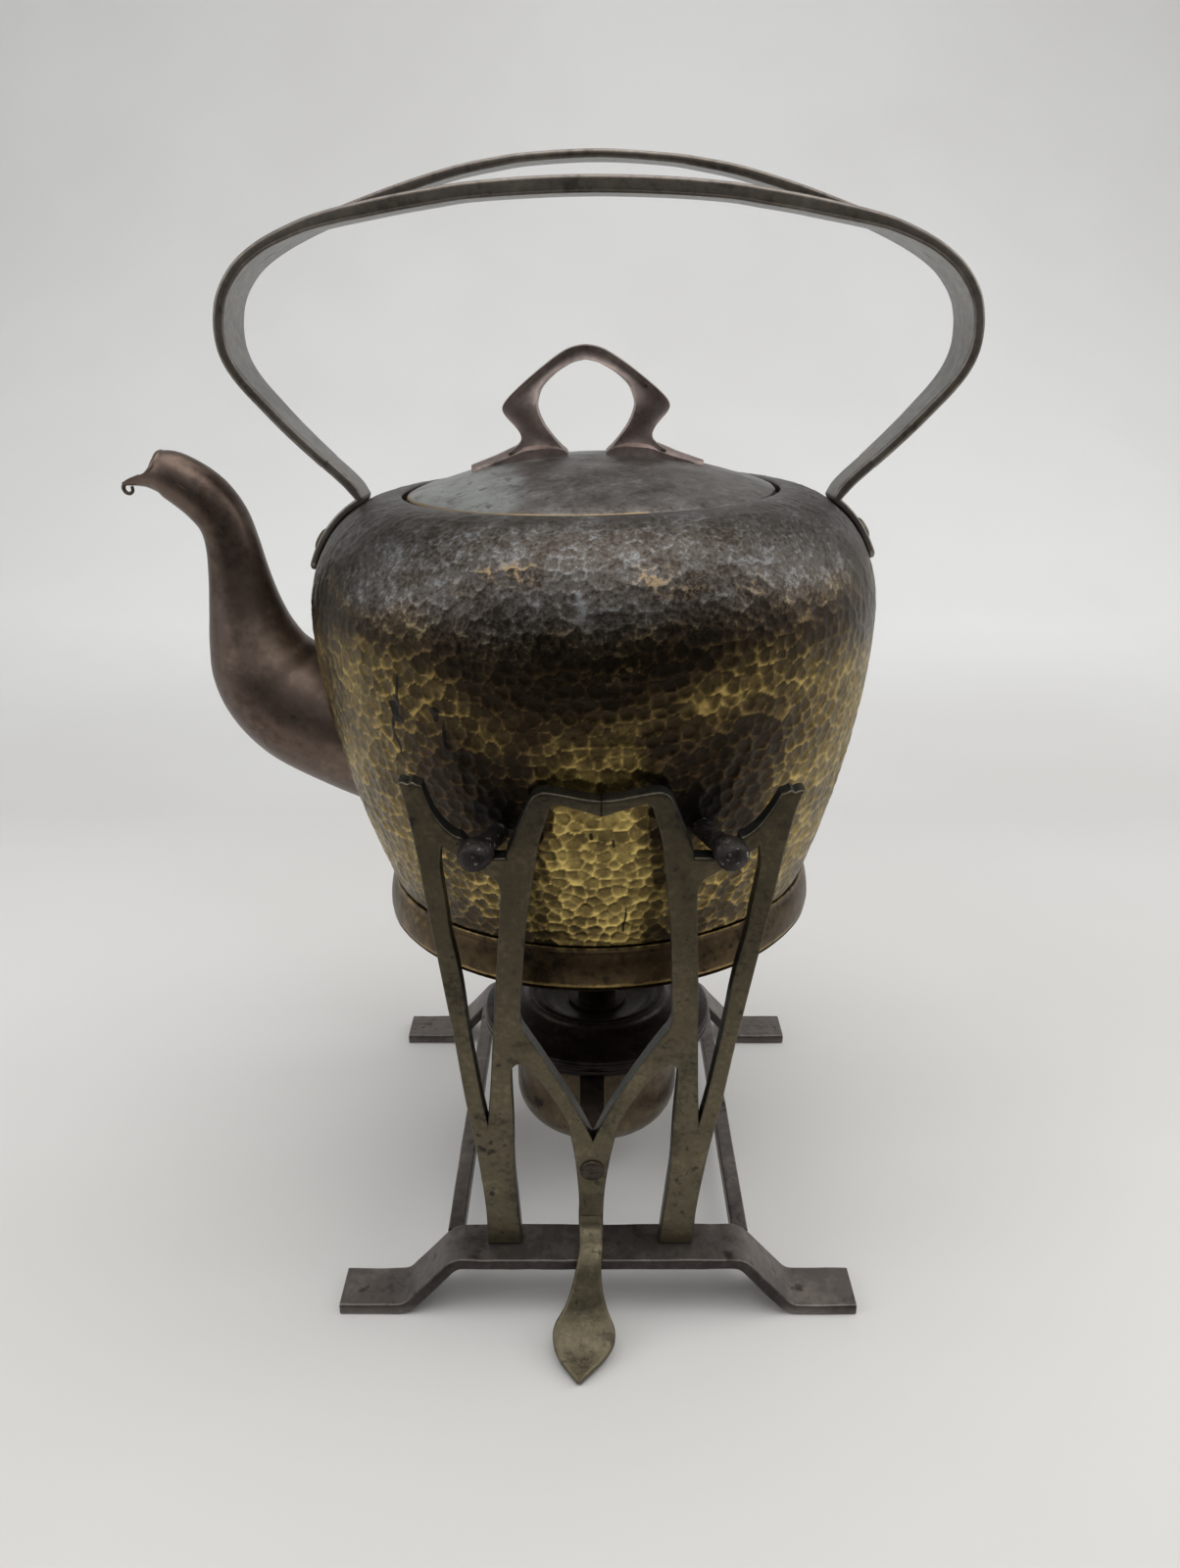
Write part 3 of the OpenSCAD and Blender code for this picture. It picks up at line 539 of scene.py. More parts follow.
def hammer(S, R, th, total):
    """Height left by the hammer at each point of the wall: 0 on the sharpest ridge, below it in the hollows; and how near a ridge the point is."""
    r = np.random.default_rng(21)
    rows, s = [], -4.0
    while s < total + 5:
        q = min(max(s / total, 0), 1)
        pitch = 3.75 - 0.75 * max(0, (q - 0.6) / 0.4)         # finer on the shoulder
        rr = float(np.interp(s, S, R))
        n = int(round(2 * math.pi * rr / (pitch * 1.09)))
        ang = (np.arange(n) + r.uniform(0, 1)) * 2 * math.pi / n
        wob = 0.9 * np.sin(3 * ang + s * 0.05) + 0.6 * np.sin(7 * ang + s * 0.11)
        loose = 0.85 + 0.3 * q
        rows.append((s + wob + r.normal(0, 0.36 * loose * pitch / 2, n), ang + r.normal(0, 0.3 * loose, n) * pitch / rr,
                     r.uniform(0, 1, n), pitch, n, r.uniform(0, 1, n)))
        s += pitch * 0.9 * r.uniform(0.95, 1.05)
    base = np.array([x[0].mean() for x in rows])
    D1 = np.full((len(S), len(th)), 1e9)
    D2 = np.full((len(S), len(th)), 1e9)
    own = np.zeros((len(S), len(th)))
    low = np.zeros((len(S), len(th)))
    for i, s in enumerate(S):
        k0 = int(np.argmin(abs(base - s)))
        best = np.full(len(th), 1e9)
        f1 = np.full(len(th), 1e9)
        f2 = np.full(len(th), 1e9)
        for k in range(max(0, k0 - 2), min(len(rows), k0 + 3)):
            rs, ra, rw, pitch, n, rc = rows[k]
            j0 = np.round((th - ra[0]) * n / (2 * math.pi)).astype(int)
            for dj in (-2, -1, 0, 1, 2):
                j = (j0 + dj) % n
                da = th - ra[j]
                da = (da + math.pi) % (2 * math.pi) - math.pi
                d2 = (s - rs[j]) ** 2 + (da * R[i]) ** 2
                pw = d2 - (rw[j] - 0.5) * 4.6                      # bigger and smaller blows
                m = pw < f1
                f2 = np.where(m, f1, np.minimum(f2, pw))
                f1 = np.where(m, pw, f1)
                own[i] = np.where(m, rc[j], own[i])
                low[i] = np.where(m, (rs[j] - s) / pitch, low[i])
        D1[i], D2[i] = f1, f2
    gap = D2 - D1                                            # 0 on a ridge
    return D1, gap, own, low


D1, gap, own, low = hammer(S, mer[:, 0], th, S[-1])
q = np.clip(S / S[-1], 0, 1)[:, None]
ridge = np.exp(-np.clip(gap, 0, None) / 2.2)
bowl = np.clip(D1, -1.5, 7) / 5.0
deep = (0.46 - 0.2 * np.clip((q - 0.5) / 0.3, 0, 1)) * (0.6 + 0.65 * own)           # shallower above the widest ring
deep = deep * np.clip((S[-1] - S)[:, None] / 8, 0.0, 1) ** 0.7
deep = deep * np.clip(S[:, None] / 2.5, 0.25, 1)
P0 = np.stack([mer[:, :1] * np.cos(th), mer[:, :1] * np.sin(th), np.repeat(mer[:, 1:2], NT, 1)], -1)
patch = 0.75 + 0.35 * noise(P0, 26, 1)
h = deep * patch * (np.clip(bowl, 0, 1.1) - 1.05 + 0.25 * ridge)
h = h + 0.12 * noise(P0, 17, 2) * np.clip((S[-1] - S)[:, None] / 8, 0, 1)
h = np.minimum(h, 0.08)
mR = mer[:, :1] + nm[:, :1] * h
mZ = mer[:, 1:2] + nm[:, 1:] * h
Pw = np.stack([mR * np.cos(th), mR * np.sin(th), mZ], -1)
# how worn a point is: hollows stay dark with patina and the ridges between them are rubbed bright, unevenly; the lower
# rim of each hollow is lighter as a painted highlight
soft = np.clip(bowl, 0, 1)
thin = np.exp(-np.clip(gap, 0, None) / 1.15)
# the low * soft term is the painted highlight on each hollow's lower rim
wear_and_highlight_w = 0.16 + 0.26 * own + 0.36 * soft ** 2 * (0.7 + 0.6 * noise(P0, 4.2, 60)) + 0.74 * thin * (0.45 + 0.8 * noise(P0, 3.0, 61) + 0.35 * noise(P0, 12, 59)) + 0.85 * low * soft ** 1.3
wear_and_highlight_w = np.clip(wear_and_highlight_w - 0.06, 0, 1)
# where the brass is bright, by angle from the front or the back and height; this is partly the brass's own polish and
# partly painted reflection of the pale floor, and the dark band above it is partly patina and partly painted shade
fa = np.degrees(np.arctan2(np.abs(P0[..., 0]), np.abs(P0[..., 1])))
left = P0[..., 0] < 0
zq = P0[..., 2] + 7 * noise(P0, 30, 62) + 3.5 * noise(P0, 11, 63)
n40, n15 = noise(P0, 38, 64), noise(P0, 14, 65)


def ease(v, a, b):
    v = np.clip((v - a) / (b - a), 0, 1)
    return v * v * (3 - 2 * v)


edge_z = 205 + 15 * ease(fa, 10, 30)
gold_and_reflection_w = (0.53 + 0.1 * ease(P0[..., 0], 10, 45) + 0.18 * n40 + 0.24 * n15) * ease(zq, edge_z + 7, edge_z - 12)
mid_p = ease(fa + 3 * n15, 14, 7) * ease(zq, 194, 174)
gold_and_reflection_w = gold_and_reflection_w + mid_p * (0.42 + 0.2 * n15)
# painted shade on the wall beside the pegs, taken off the bright brass
peg_shade = ease(fa + 4 * n15, 6, 12) * ease(fa + 5 * n40, 40, 29) * ease(zq, 159, 169) * ease(zq, 207, 191)
gold_and_reflection_w = gold_and_reflection_w - 0.62 * peg_shade - 0.25 * ease(zq, 138, 128) * ease(fa, 6, 16)
# painted reflection: the sides are painted duller and lower in contrast, and their bright brass reaches higher
beside = ease(fa, 34, 52)                                    # the sides are duller, with less contrast
gold_and_reflection_w = np.clip(gold_and_reflection_w + 0.1 * beside * ease(zq, 215, 190) - 0.24 * ease(fa, 58, 80), 0, 1)
wear_and_highlight_w = wear_and_highlight_w * (1 - 0.42 * beside) + 0.2 * beside
up_w = ease(zq, 219, 244)
spots = [(-24, 241, 11, 3.6, 1.0), (-34, 237, 6, 3, 0.6), (15, 240, 8, 3.4, 0.95), (24, 237.5, 8, 3.6, 0.8), (3, 236, 7, 3, 0.35), (43, 236, 8, 5, 0.55), (62, 231, 7, 7, 0.5), (-60, 222, 8, 5, 0.3), (6, 217, 9, 3.6, 0.7), (14, 221, 6, 3, 0.5), (-14, 226, 9, 3, 0.3)]
rub_w = np.zeros_like(zq)
for x_, z_, wx, wz, k_ in spots:
    rub_w = np.maximum(rub_w, k_ * np.exp(-((P0[..., 0] - x_) / wx) ** 2 - ((P0[..., 2] - z_) / wz) ** 2) * (P0[..., 1] < 0))
back_r = ease(zq, 231, 237) * ease(zq, 246, 240) * np.clip(1.6 * noise(P0 * [1, 1, 1.8], 9, 66) - 0.1, 0, 1) * ease(P0[..., 1], -20, 20)
rub_w = np.clip(np.maximum(rub_w, back_r) * (1 + 0.5 * noise(P0, 5, 68)), 0, 1)
# painted shade: dark patches on the wall beside the pegs, around z 176; the drips below are stains
soot_and_shade_w = 0.75 * np.clip(ease(fa, 12, 17) * ease(fa, 30, 22) * np.exp(-((P0[..., 2] - 176 - 3 * n15) / 9) ** 2) + 0.0, 0, 1)
# drips: narrow wandering streaks that end in a bead
rd = np.random.default_rng(5)
PH = np.arctan2(P0[..., 0], -P0[..., 1])
drips = [(-0.645, 212, 204, 0.9), (-0.66, 203, 200, 2.3), (-0.68, 199, 189, 0.8), (-0.50, 204, 202, 1.7), (-0.475, 202, 192, 0.9), (0.1, 143, 133, 0.55), (0.05, 167, 165, 0.9), (-0.02, 169, 168, 0.6)]
shown = len(drips)
for z0 in rd.uniform(155, 212, 7):
    pa = rd.uniform(0.9, 5.3)
    drips += [(pa, z0, z0 - rd.uniform(5, 14), rd.uniform(0.5, 0.9)), (pa + rd.uniform(-0.015, 0.015), z0 + 1, z0 - 2, rd.uniform(1.1, 2.0))]
for k_, (pa, z1, z0, wd) in enumerate(drips):
    da = (PH - pa - (0.012 if k_ < shown else 0.03) * noise(P0 * [0.2, 0.2, 1], 5, 69) + math.pi) % (2 * math.pi) - math.pi
    dx = da * 88
    dz = np.clip(z0 - P0[..., 2], 0, None) + np.clip(P0[..., 2] - z1, 0, None)
    ww = wd * (0.8 + 0.6 * noise(P0, 3, 67))
    soot_and_shade_w = np.maximum(soot_and_shade_w, (1 if k_ < shown else 0.45) * ease(np.hypot(dx, dz), ww + 0.6, ww - 0.5))


def ring(rz):
    rz = np.array(rz, float)
    return np.stack([rz[:, :1] * np.cos(th), rz[:, :1] * np.sin(th), np.repeat(rz[:, 1:2], NT, 1)], -1)


mouth = fillet([[float(mR[-1].mean()), float(mZ[-1].mean())], [MOUTH_R, 252.6], [MOUTH_R, LEDGE], [54.9, LEDGE], [54.9, LEDGE - 1.2], [60.8, LEDGE - 1.2]], [0.6, 0.6, 0.5, 0.35, 0.35, 0.6], 3)[1:]
zi = np.linspace(211, 129, 24)
inner = np.vstack([shoulder(np.linspace(88, 0, 26), -1.2), np.stack([wall_r(zi) - 1.2, zi], 1)])
foot = fillet([[69.2, 127.6], [68.7, 126.2], [68.7, 122.5], [69.9, 122.5], [69.9, 126.5], [70.6, 126.9]], 0.25, 2)
P = np.concatenate([Pw, ring(mouth), ring(inner), ring(foot)])
REST = len(mouth) + len(inner) + len(foot)
tone = np.concatenate([wear_and_highlight_w.ravel(), np.full(REST * NT, 0.12)])


def rest(w, *v):
    """The outer wall's values, then one value each for the mouth, the inside and the foot."""
    return np.concatenate([w.ravel()] + [np.full(len(k) * NT, x) for k, x in zip((mouth, inner, foot), v)])


bd = Build()
bd.grid(hang(P), tone, wrap=True)
# the foot's soot value of 0.5 is painted shade in the gap between the body and the pan
bd.done("hammered_body", "kettle", "hammered_brass", M["body"], ["kettle_body"], sharp=None, weighted=False,
        more={"gold": rest(gold_and_reflection_w, 0.2, 0.35, 0.1), "up": rest(up_w, 0.6, 0.3, 0.0), "rub": rest(rub_w, 0.1, 0.0, 0.0), "soot": rest(soot_and_shade_w, 0.0, 0.0, 0.5)})

# ------------------------------------------------------------------ pan
pan = [[0, 112.4], [40, 112.4], [69.6, 112.4], [71.6, 112.7], [72.9, 113.6], [73.5, 114.8], [73.6, 115.9], [73.45, 118.5], [72.9, 121.6], [72.1, 123.9], [71.5, 125.2],
       [71.75, 125.9], [71.5, 126.5], [70.9, 126.6], [70.3, 126.4], [70.05, 125.9], [70.1, 123.8], [71.2, 122.2], [72.1, 119.2], [72.4, 115.8], [72.1, 114.7], [71.3, 113.9], [70, 113.6], [30, 113.6], [0, 113.6]]
pan = np.vstack([np.array(pan[:1]), even(cr(pan[1:12], 4), 0.9), cr(pan[11:], 3)[1:]])


def pan_dents(P):
    r = np.hypot(P[..., 0], P[..., 1])
    k = np.clip((r - 60) / 8, 0, 1)
    d = 1 + k * (0.22 * noise(P, 19, 5) + 0.1 * noise(P, 6, 6)) / np.maximum(r, 1)
    P = P.copy()
    P[..., 0] *= d
    P[..., 1] *= d
    return P


wear = [max(0, 1 - abs(z - 114.6) / 2.6) * (r > 70) + max(0, 1 - abs(z - 126.3) / 1.3) * 0.8 for r, z in pan]
Build().revolve(pan, 384, wear, pan_dents, hang).done("base_pan_shell", "kettle", "pan_brass", M["pan"], ["base_pan"], sharp=None)

# ------------------------------------------------------------------ spout
SP = [[-66, 167.8, 23.6], [-82, 174, 22.7], [-92, 177.6, 21.5], [-100, 181.8, 20.8], [-107, 188, 19.4], [-111.8, 196, 17.6],
      [-114.4, 204.7, 14.7], [-115.9, 214, 12.1], [-117, 224.5, 10], [-118.1, 235, 8.6], [-120.2, 243, 8.2], [-124.8, 249.6, 8.4],
      [-131, 254.6, 8.1], [-136.8, 257.5, 7.3], [-142.4, 257.5, 5.1], [-147, 256.1, 2.7], [-151, 254.7, 1.1]]
sp = even(cr(SP, 8), 0.75)
d = np.gradient(sp[:, :2], axis=0)
for _ in range(3):
    d[1:-1] = (d[:-2] + 2 * d[1:-1] + d[2:]) / 4
d /= np.linalg.norm(d, axis=1)[:, None]
NU = 208
# more lines where the mouth's cut runs along the tube, at the corners of the beak
tt = np.linspace(0, 2 * math.pi, 4001)
dens = 1 + 5 * np.exp(-((np.degrees(np.minimum(tt, 2 * math.pi - tt)) - 97) / 17) ** 2)
cdf = np.r_[0, np.cumsum((dens[1:] + dens[:-1]) / 2)]
fi = np.interp(np.arange(NU) * cdf[-1] / NU, cdf, tt)


def tube_pts(dr):
    """Spout surface: station x angle; angle 0 is the outer, upper side at the mouth."""
    r = np.maximum(sp[:, 2] - dr, 0.25)
    nx, nz = d[:, 1], -d[:, 0]           # towards the kettle, and up at the mouth
    x = sp[:, :1] + r[:, None] * nx[:, None] * np.cos(fi)
    z = sp[:, 1:2] + r[:, None] * nz[:, None] * np.cos(fi)
    y = r[:, None] * np.sin(fi) * np.ones_like(x)
    return np.stack([x, y, z], -1)


CUT = np.array([[-137.9, 275], [-138.3, 266.5], [-139.3, 262.6], [-140.4, 259.9], [-142.0, 258.2], [-144.4, 257.2], [-148, 256.3], [-156, 254.9]])


def outside(P):
    """Positive where a point is cut away, in front of the mouth's line."""
    x, z = P[..., 0], P[..., 2]
    zc = np.interp(-x, -CUT[:, 0], CUT[:, 1])
    return (x < -137.2) & (z > zc)


def in_wall(P):
    """True where a point is behind the body's wall."""
    x, z = P[..., 0], P[..., 2] - 140
    bx, bz = x * math.cos(HANG) + z * math.sin(HANG), 140 - x * math.sin(HANG) + z * math.cos(HANG)
    return np.hypot(bx, P[..., 1]) < wall_r(bz) - 0.7


def trimmed(dr, rows=230):
    """The tube from the body's wall to the cut of the mouth, the same number of rows all round."""
    T = tube_pts(dr)
    out = np.zeros((rows, NU, 3))
    for j in range(NU):
        fine = even(T[:, j], 0.08)
        a0 = int(np.argmax(~in_wall(fine)))
        o = outside(fine)
        k = int(np.argmax(o)) if o.any() else len(fine) - 1
        part = fine[a0:k+1]
        t = np.linspace(0, len(part) - 1, rows)
        out[:, j] = np.stack([np.interp(t, np.arange(len(part)), part[:, c]) for c in range(3)], 1)
    return out


o_s, i_s = trimmed(0.0), trimmed(1.1)
# rolled rim: the lip thickens a little over its last millimetres
w = np.zeros(len(o_s))
w[-5:] = np.array([0.25, 0.7, 1.0, 1.0, 0.7])
upper = np.clip((o_s[-1, :, 0] + 143.2) / 3.2, 0, 1)
upper = upper * upper * (3 - 2 * upper)
nrm = o_s - o_s.mean(1, keepdims=True)
nrm /= np.maximum(np.linalg.norm(nrm, axis=2, keepdims=True), 1e-6)
o_s = o_s + nrm * (w[:, None] * upper[None, :] * 0.5)[..., None]
inn = i_s[::-1]
rim = (o_s[-1] + inn[0]) / 2
fwd = (o_s[-1] - o_s[-3])
fwd /= np.maximum(np.linalg.norm(fwd, axis=1, keepdims=True), 1e-6)
rim = rim + fwd * 0.25
P = np.concatenate([o_s, rim[None], inn])
P = P + (0.16 * noise(P, 21, 8))[..., None] * np.concatenate([nrm, nrm[-1:], -nrm[::-1] * 0])[:len(P)]
tone = np.zeros(P.shape[:2])
bd = Build()
bd.grid(P, tone, wrap=True)
# the beak's tip is drawn out and curled into a tiny drip loop
c0 = np.array([-149.4, 253.0])
loop = [[-145.5, 0.0, 255.9], [-148.6, 0, 255.0], [-150.4, 0, 254.2], [-151.0, 0, 252.9], [-150.4, 0, 251.6], [-149.2, 0, 251.2], [-148.2, 0, 252.0], [-148.3, 0, 253.5]]
L = cr(loop, 6)
tg = np.gradient(L, axis=0)
tg /= np.linalg.norm(tg, axis=1)[:, None]
nn = np.stack([-tg[:, 2], 0 * tg[:, 0], tg[:, 0]], 1)
rad = np.interp(np.linspace(0, 1, len(L)), [0, 0.3, 1], [1.3, 0.7, 0.5])
a = np.arange(14) * 2 * math.pi / 14
bd.grid(L[:, None] + rad[:, None, None] * (nn[:, None] * np.cos(a)[None, :, None] + np.array([0, 1, 0]) * np.sin(a)[None, :, None]), np.full((len(L), 14), 0.2))
bd.done("spout_tube", "kettle", "spout_copper", M["spout"], ["spout"], sharp=60)

# ------------------------------------------------------------------ handle
HT = 3.3
side = [[76.0, 248.2], [77.2, 250.9], [80.3, 254.6], [86.1, 260.0], [91.6, 265.3], [97.3, 271.1], [102.6, 276.9], [107.5, 282.5], [111.2, 288],
        [113.3, 293.5], [113.9, 298.9], [113.5, 304.3], [112.1, 309.6], [109.1, 314.8], [104.5, 319.8], [97, 324.8]]
front = [[86, 329.6, 3.7], [77, 332.2, 4.1], [68, 334.2, 4.4], [58, 336.2, 4.5], [48, 337.8, 4.5], [38, 339.2, 4.5], [20, 340.6, 4.8], [0, 341, 4.8]]
rear = [[86.5, 329.9, 3.3], [75, 334.4, 3.2], [62, 338.9, 3], [51.5, 342.1, 2.9], [41, 344.8, 2.8], [31, 346.6, 2.7], [20, 348, 2.5], [0, 348.9, 2.4]]


def bar(extra, y_in, y_out):
    """One half of the hoop, as a closed band from foot to foot."""
    p = np.array([[x, z, HT] for x, z in side[3:]] + extra)
    full = np.vstack([p, [[-x, z, t] for x, z, t in p[-2::-1]]])
    c = even(cr(full, 6), 1.7)
    n2 = sides(c[:, :2])
    if n2[len(n2)//2, 1] > 0:
        n2 = -n2                                             # towards the inside of the hoop
    dep = np.interp(c[:, 1], [240, 254, 272, 291, 300, 320], [7, 7.2, 9.2, 11.2, 11.5, 11.5])
    n_split = 1 - np.clip((96 - abs(c[:, 0])) / 10, 0, 1) * (c[:, 1] > 322)      # 1 where the halves are one strap
    out = []
    tone = []
    cut = []
    sgn = math.copysign(1, y_out)
    for i in range(len(c)):
        t = c[i, 2]
        w = dep[i]
        r_in = 0.02 + (1 - n_split[i]) * 1.0
        sec = rrect(t, w, r_in, 4, 1.15)                     # first axis thickness, second depth; +second is the outer edge
        off = sec[:, 0] + t / 2                               # 0 at the outer face
        yy = (sec[:, 1] + w / 2) * sgn
        base = c[i, :2][None] + n2[i][None] * off[:, None]
        out.append(np.stack([base[:, 0], yy, base[:, 1]], 1))
        tone.append(np.clip((sec[:, 1] - w/2 + 1.2) / 1.2, 0, 1) * 0.9 + (1 - n_split[i]) * np.clip((-sec[:, 1] - w/2 + 1.2) / 1.2, 0, 1) * 0.9)
        cut.append((sec[:, 0] > t/2 - 0.3) * np.clip((w/2 - 0.5 - sec[:, 1]) / 0.8, 0, 1) * 1.0)
    P = np.array(out)
    k = np.array(tone)
    P = P + np.stack([0.22 * noise(P, 24, 11), 0.0 * P[..., 1], 0.22 * noise(P, 24, 12)], -1) * np.clip((P[..., 2:3] - 262) / 20, 0, 1)
    c = np.array(cut)
    return P, k, np.r_[c.ravel(), c[0].mean(), c[-1].mean()]


def foot_strap(s):
    """Foot of the handle: the band comes down, bends sharply and lies outwards on the shoulder. s is the side."""
    A = np.linspace(70, 20.6, 60)
    n = np.stack([np.cos(np.radians(A)) / (BODY_R - ELL_R), np.sin(np.radians(A)) / SH], 1)
    n /= np.linalg.norm(n, axis=1)[:, None]
    low = shoulder(A) + n * 1.06
    low = hang(np.stack([s * low[:, 0], 0 * A, low[:, 1]], 1))[:, [0, 2]] * [s, 1]
    c = even(cr(side, 6), 0.8)
    n2 = sides(c)
    n2 = n2 if n2[len(n2)//2, 0] < 0 else -n2
    top = (c + n2 * HT / 2)[::-1]
    top = top[(top[:, 1] < 262) & (top[:, 1] > 250.5)]
    u = top[-1] - top[-4]
    u /= np.linalg.norm(u)
    # where the band's middle line, carried on down, meets the tab's
    t = np.linspace(0, 9, 200)
    ray = top[-1][None] + u[None] * t[:, None]
    d2 = ((ray[:, None] - low[None]) ** 2).sum(-1)
    a_, b_ = np.unravel_index(np.argmin(d2), d2.shape)
    L = np.vstack([top, ray[a_][None], low[b_+5:]])
    k = len(top)
    rad = np.zeros(len(L))
    rad[k] = 3.0
    L = fillet(L, rad, 10, least=25)
    L = even(L, 0.7)
    nL = sides(L)
    if nL[3, 0] > 0:
        nL = -nL                                             # towards the inside of the hoop
    sl = np.r_[0, np.cumsum(np.linalg.norm(np.diff(L, axis=0), axis=1))]
    bend = sl[np.argmin(L[:, 0])]
    out, tone, cut = [], [], []
    for i in range(len(L)):
        f = np.clip((sl[i] - bend + 3.5) / 5.5, 0, 1)        # 0 band, 1 tab
        thk = HT * (1 - f) + 2.1 * f
        w = 14.2 + 0.5 * np.exp(-((sl[i] - bend) / 3.0) ** 2) - 3.4 * max(0, 1 - (sl[-1] - sl[i]) / 2.6) ** 2
        if i > len(L) - 4:
            thk *= (0.62, 0.85, 1.0)[len(L) - 1 - i]
        sec = rrect(thk, w, 0.95 - 0.2 * f, 4)
        b = L[i][None] + nL[i][None] * sec[:, 0:1]
        out.append(np.stack([s * b[:, 0], sec[:, 1], b[:, 1]], 1))
        tone.append(np.clip((abs(sec[:, 1]) - w/2 + 1.1) / 1.1, 0, 1) * 0.8)
        cut.append((sec[:, 0] > thk/2 - 0.3) * (1 - f) * np.clip((w/2 - 0.5 - abs(sec[:, 1])) / 0.8, 0, 1))
    c = np.array(cut)
    return np.array(out), np.array(tone), np.r_[c.ravel(), c[0].mean(), c[-1].mean()]


bd = Build()
cuts = []
for extra, s in ((front, -1), (rear, 1)):
    P, k, c = bar(extra, 0, s)
    bd.grid(P, k)
    cuts.append(c)
for s in (-1, 1):
    P, k, c = foot_strap(s)
    bd.grid(P, k)
    cuts.append(c)
bd.done("handle_strap", "kettle", "handle_bronze", M["handle"], ["handle"], sharp=50, more={"cut": np.concatenate(cuts)})


def dome(r, hgt, base=0.4, n=7):
    """Profile of a domed rivet head standing on z 0."""
    a = np.linspace(0, math.pi / 2, n)
    return [[0, -0.6], [r - 0.2, -0.6], [r, -0.3], [r, base * 0.5]] + [[r * math.cos(x) ** 0.8, base * 0.5 + hgt * math.sin(x)] for x in a[1:-1]] + [[0, base * 0.5 + hgt]]


RIV_A = 34.7
e = shoulder(RIV_A)
tilt = math.atan2(math.cos(math.radians(RIV_A)) / (BODY_R - ELL_R), math.sin(math.radians(RIV_A)) / SH)


def on_shoulder(s):
    def place(P):
        P = np.array(P, float)
        x = P[..., 0] * math.cos(s * tilt) + P[..., 2] * math.sin(s * tilt) + s * e[0]
        z = -P[..., 0] * math.sin(s * tilt) + P[..., 2] * math.cos(s * tilt) + e[1]
        return hang(np.stack([x, P[..., 1], z], -1))
    return place


bd = Build()
for s in (-1, 1):
    prof = np.array(dome(3.7, 1.15)) + [0, 2.15]
    bd.revolve(prof, 48, np.clip(prof[:, 1] - 2.6, 0, 1), place=on_shoulder(s))
    bd.revolve([[0, -2.9], [2.6, -2.9], [3.0, -2.7], [3.0, -2.1], [2.8, -1.9], [0, -1.9]], 32, place=on_shoulder(s))
bd.done("handle_rivet_heads", "kettle", "rivet_brass", M["rivet"], ["handle_rivets"], sharp=50)

# ------------------------------------------------------------------ lid
LID = [[58, 252.6], [54, 254.4], [49.5, 255.6], [41.2, 258], [30, 260.9], [20, 262.5], [10, 263.4], [0, 263.6]]
top = even(cr(LID, 6), 0.9)
under = top[::-1] - [0, 1.2]
lp = np.vstack([[[0, 262.4]], under[under[:, 0] > 0.5][:-3], [[56.4, 251.9], [56.45, 250.5], [56.8, 250.2], [57.6, 250.2], [57.95, 250.6], [58, 251.6], [57.95, 252.35], [57.6, 252.75]], top[top[:, 0] < 57.0][:-1], [[0, 263.6]]])


def lid_dents(P):
    P = P.copy()
    P[..., 2] += 0.16 * noise(P, 22, 14) + 0.05 * noise(P, 7, 15)
    r = np.hypot(P[..., 0], P[..., 1])
    dim = np.maximum(0, noise(P * [1, 1, 0.2], 3.4, 16))
    P[..., 2] -= 0.07 * dim * np.clip((r - 24) / 20, 0, 1) * (P[..., 2] > 251)
    return P


lw = [np.clip((r - 55.6) / 2.2, 0, 1) * (z > 251) for r, z in lp]
bd = Build()
bd.revolve(lp, 320, lw, lid_dents, hang)
V = np.vstack(bd.V)
bd.A = [bd.A[0] * (0.35 + 0.65 * ease(-V[:, 0] - 0.7 * V[:, 1] + 12 * noise(V, 14, 70), 5, 30))]
bloom = np.clip(ease(-V[:, 0] + 20 * noise(V, 26, 71) + 9 * noise(V, 9, 72), -22, 46) + 0.36 * ease(V[:, 0] + 12 * noise(V, 16, 73), 22, 48) + 0.25 * ease(V[:, 1], -10, 30), 0, 1)
bd.done("lid_shell", "lid", "lid_brass", M["lid"], ["lid"], sharp=None, more={"bloom": bloom})
bd = Build().revolve(fillet([[53, 243], [54.1, 243], [54.1, 253], [53, 253]], 0.35, 3, closed=True), 192, place=hang)
bd.done("lid_sleeve", "lid", "lid_brass", M["lid"], ["lid_collar"], sharp=50, more={"bloom": np.full(bd.n, 0.3)})


def lid_z(x):
    return np.interp(abs(x), [p[0] for p in LID[::-1]], [p[1] for p in LID[::-1]])


KO = [[0, 295.6], [3.2, 295.25], [6.5, 294.0], [11.5, 290.8], [19, 285.2], [24.4, 280.4], [26.3, 277.2], [22.6, 273.4], [19.7, 269.4], [21.0, 266.9], [24.6, 264.6], [29.5, 262.2], [35.6, 259.35]]
KI = [[0, 291.8], [3.3, 291.1], [6.0, 289.9], [9.6, 287.7], [13.4, 284.0], [15.0, 280.2], [15.1, 277.2], [13.2, 272.7], [10.3, 268.8], [8.2, 266.4], [6.7, 265.0], [6.15, 263.9], [6.0, 262.9]]
#        half depth at the outer and inner edge
KD = [4.4, 4.4, 4.5, 4.9, 5.6, 6.0, 6.0, 5.2, 4.6, 5.0, 5.6, 5.8, 5.4]
KC = [0.5, 0.5, 0.6, 0.9, 1.3, 1.5, 1.5, 1.2, 0.9, 1.0, 0.8, 0.5, 0.2]


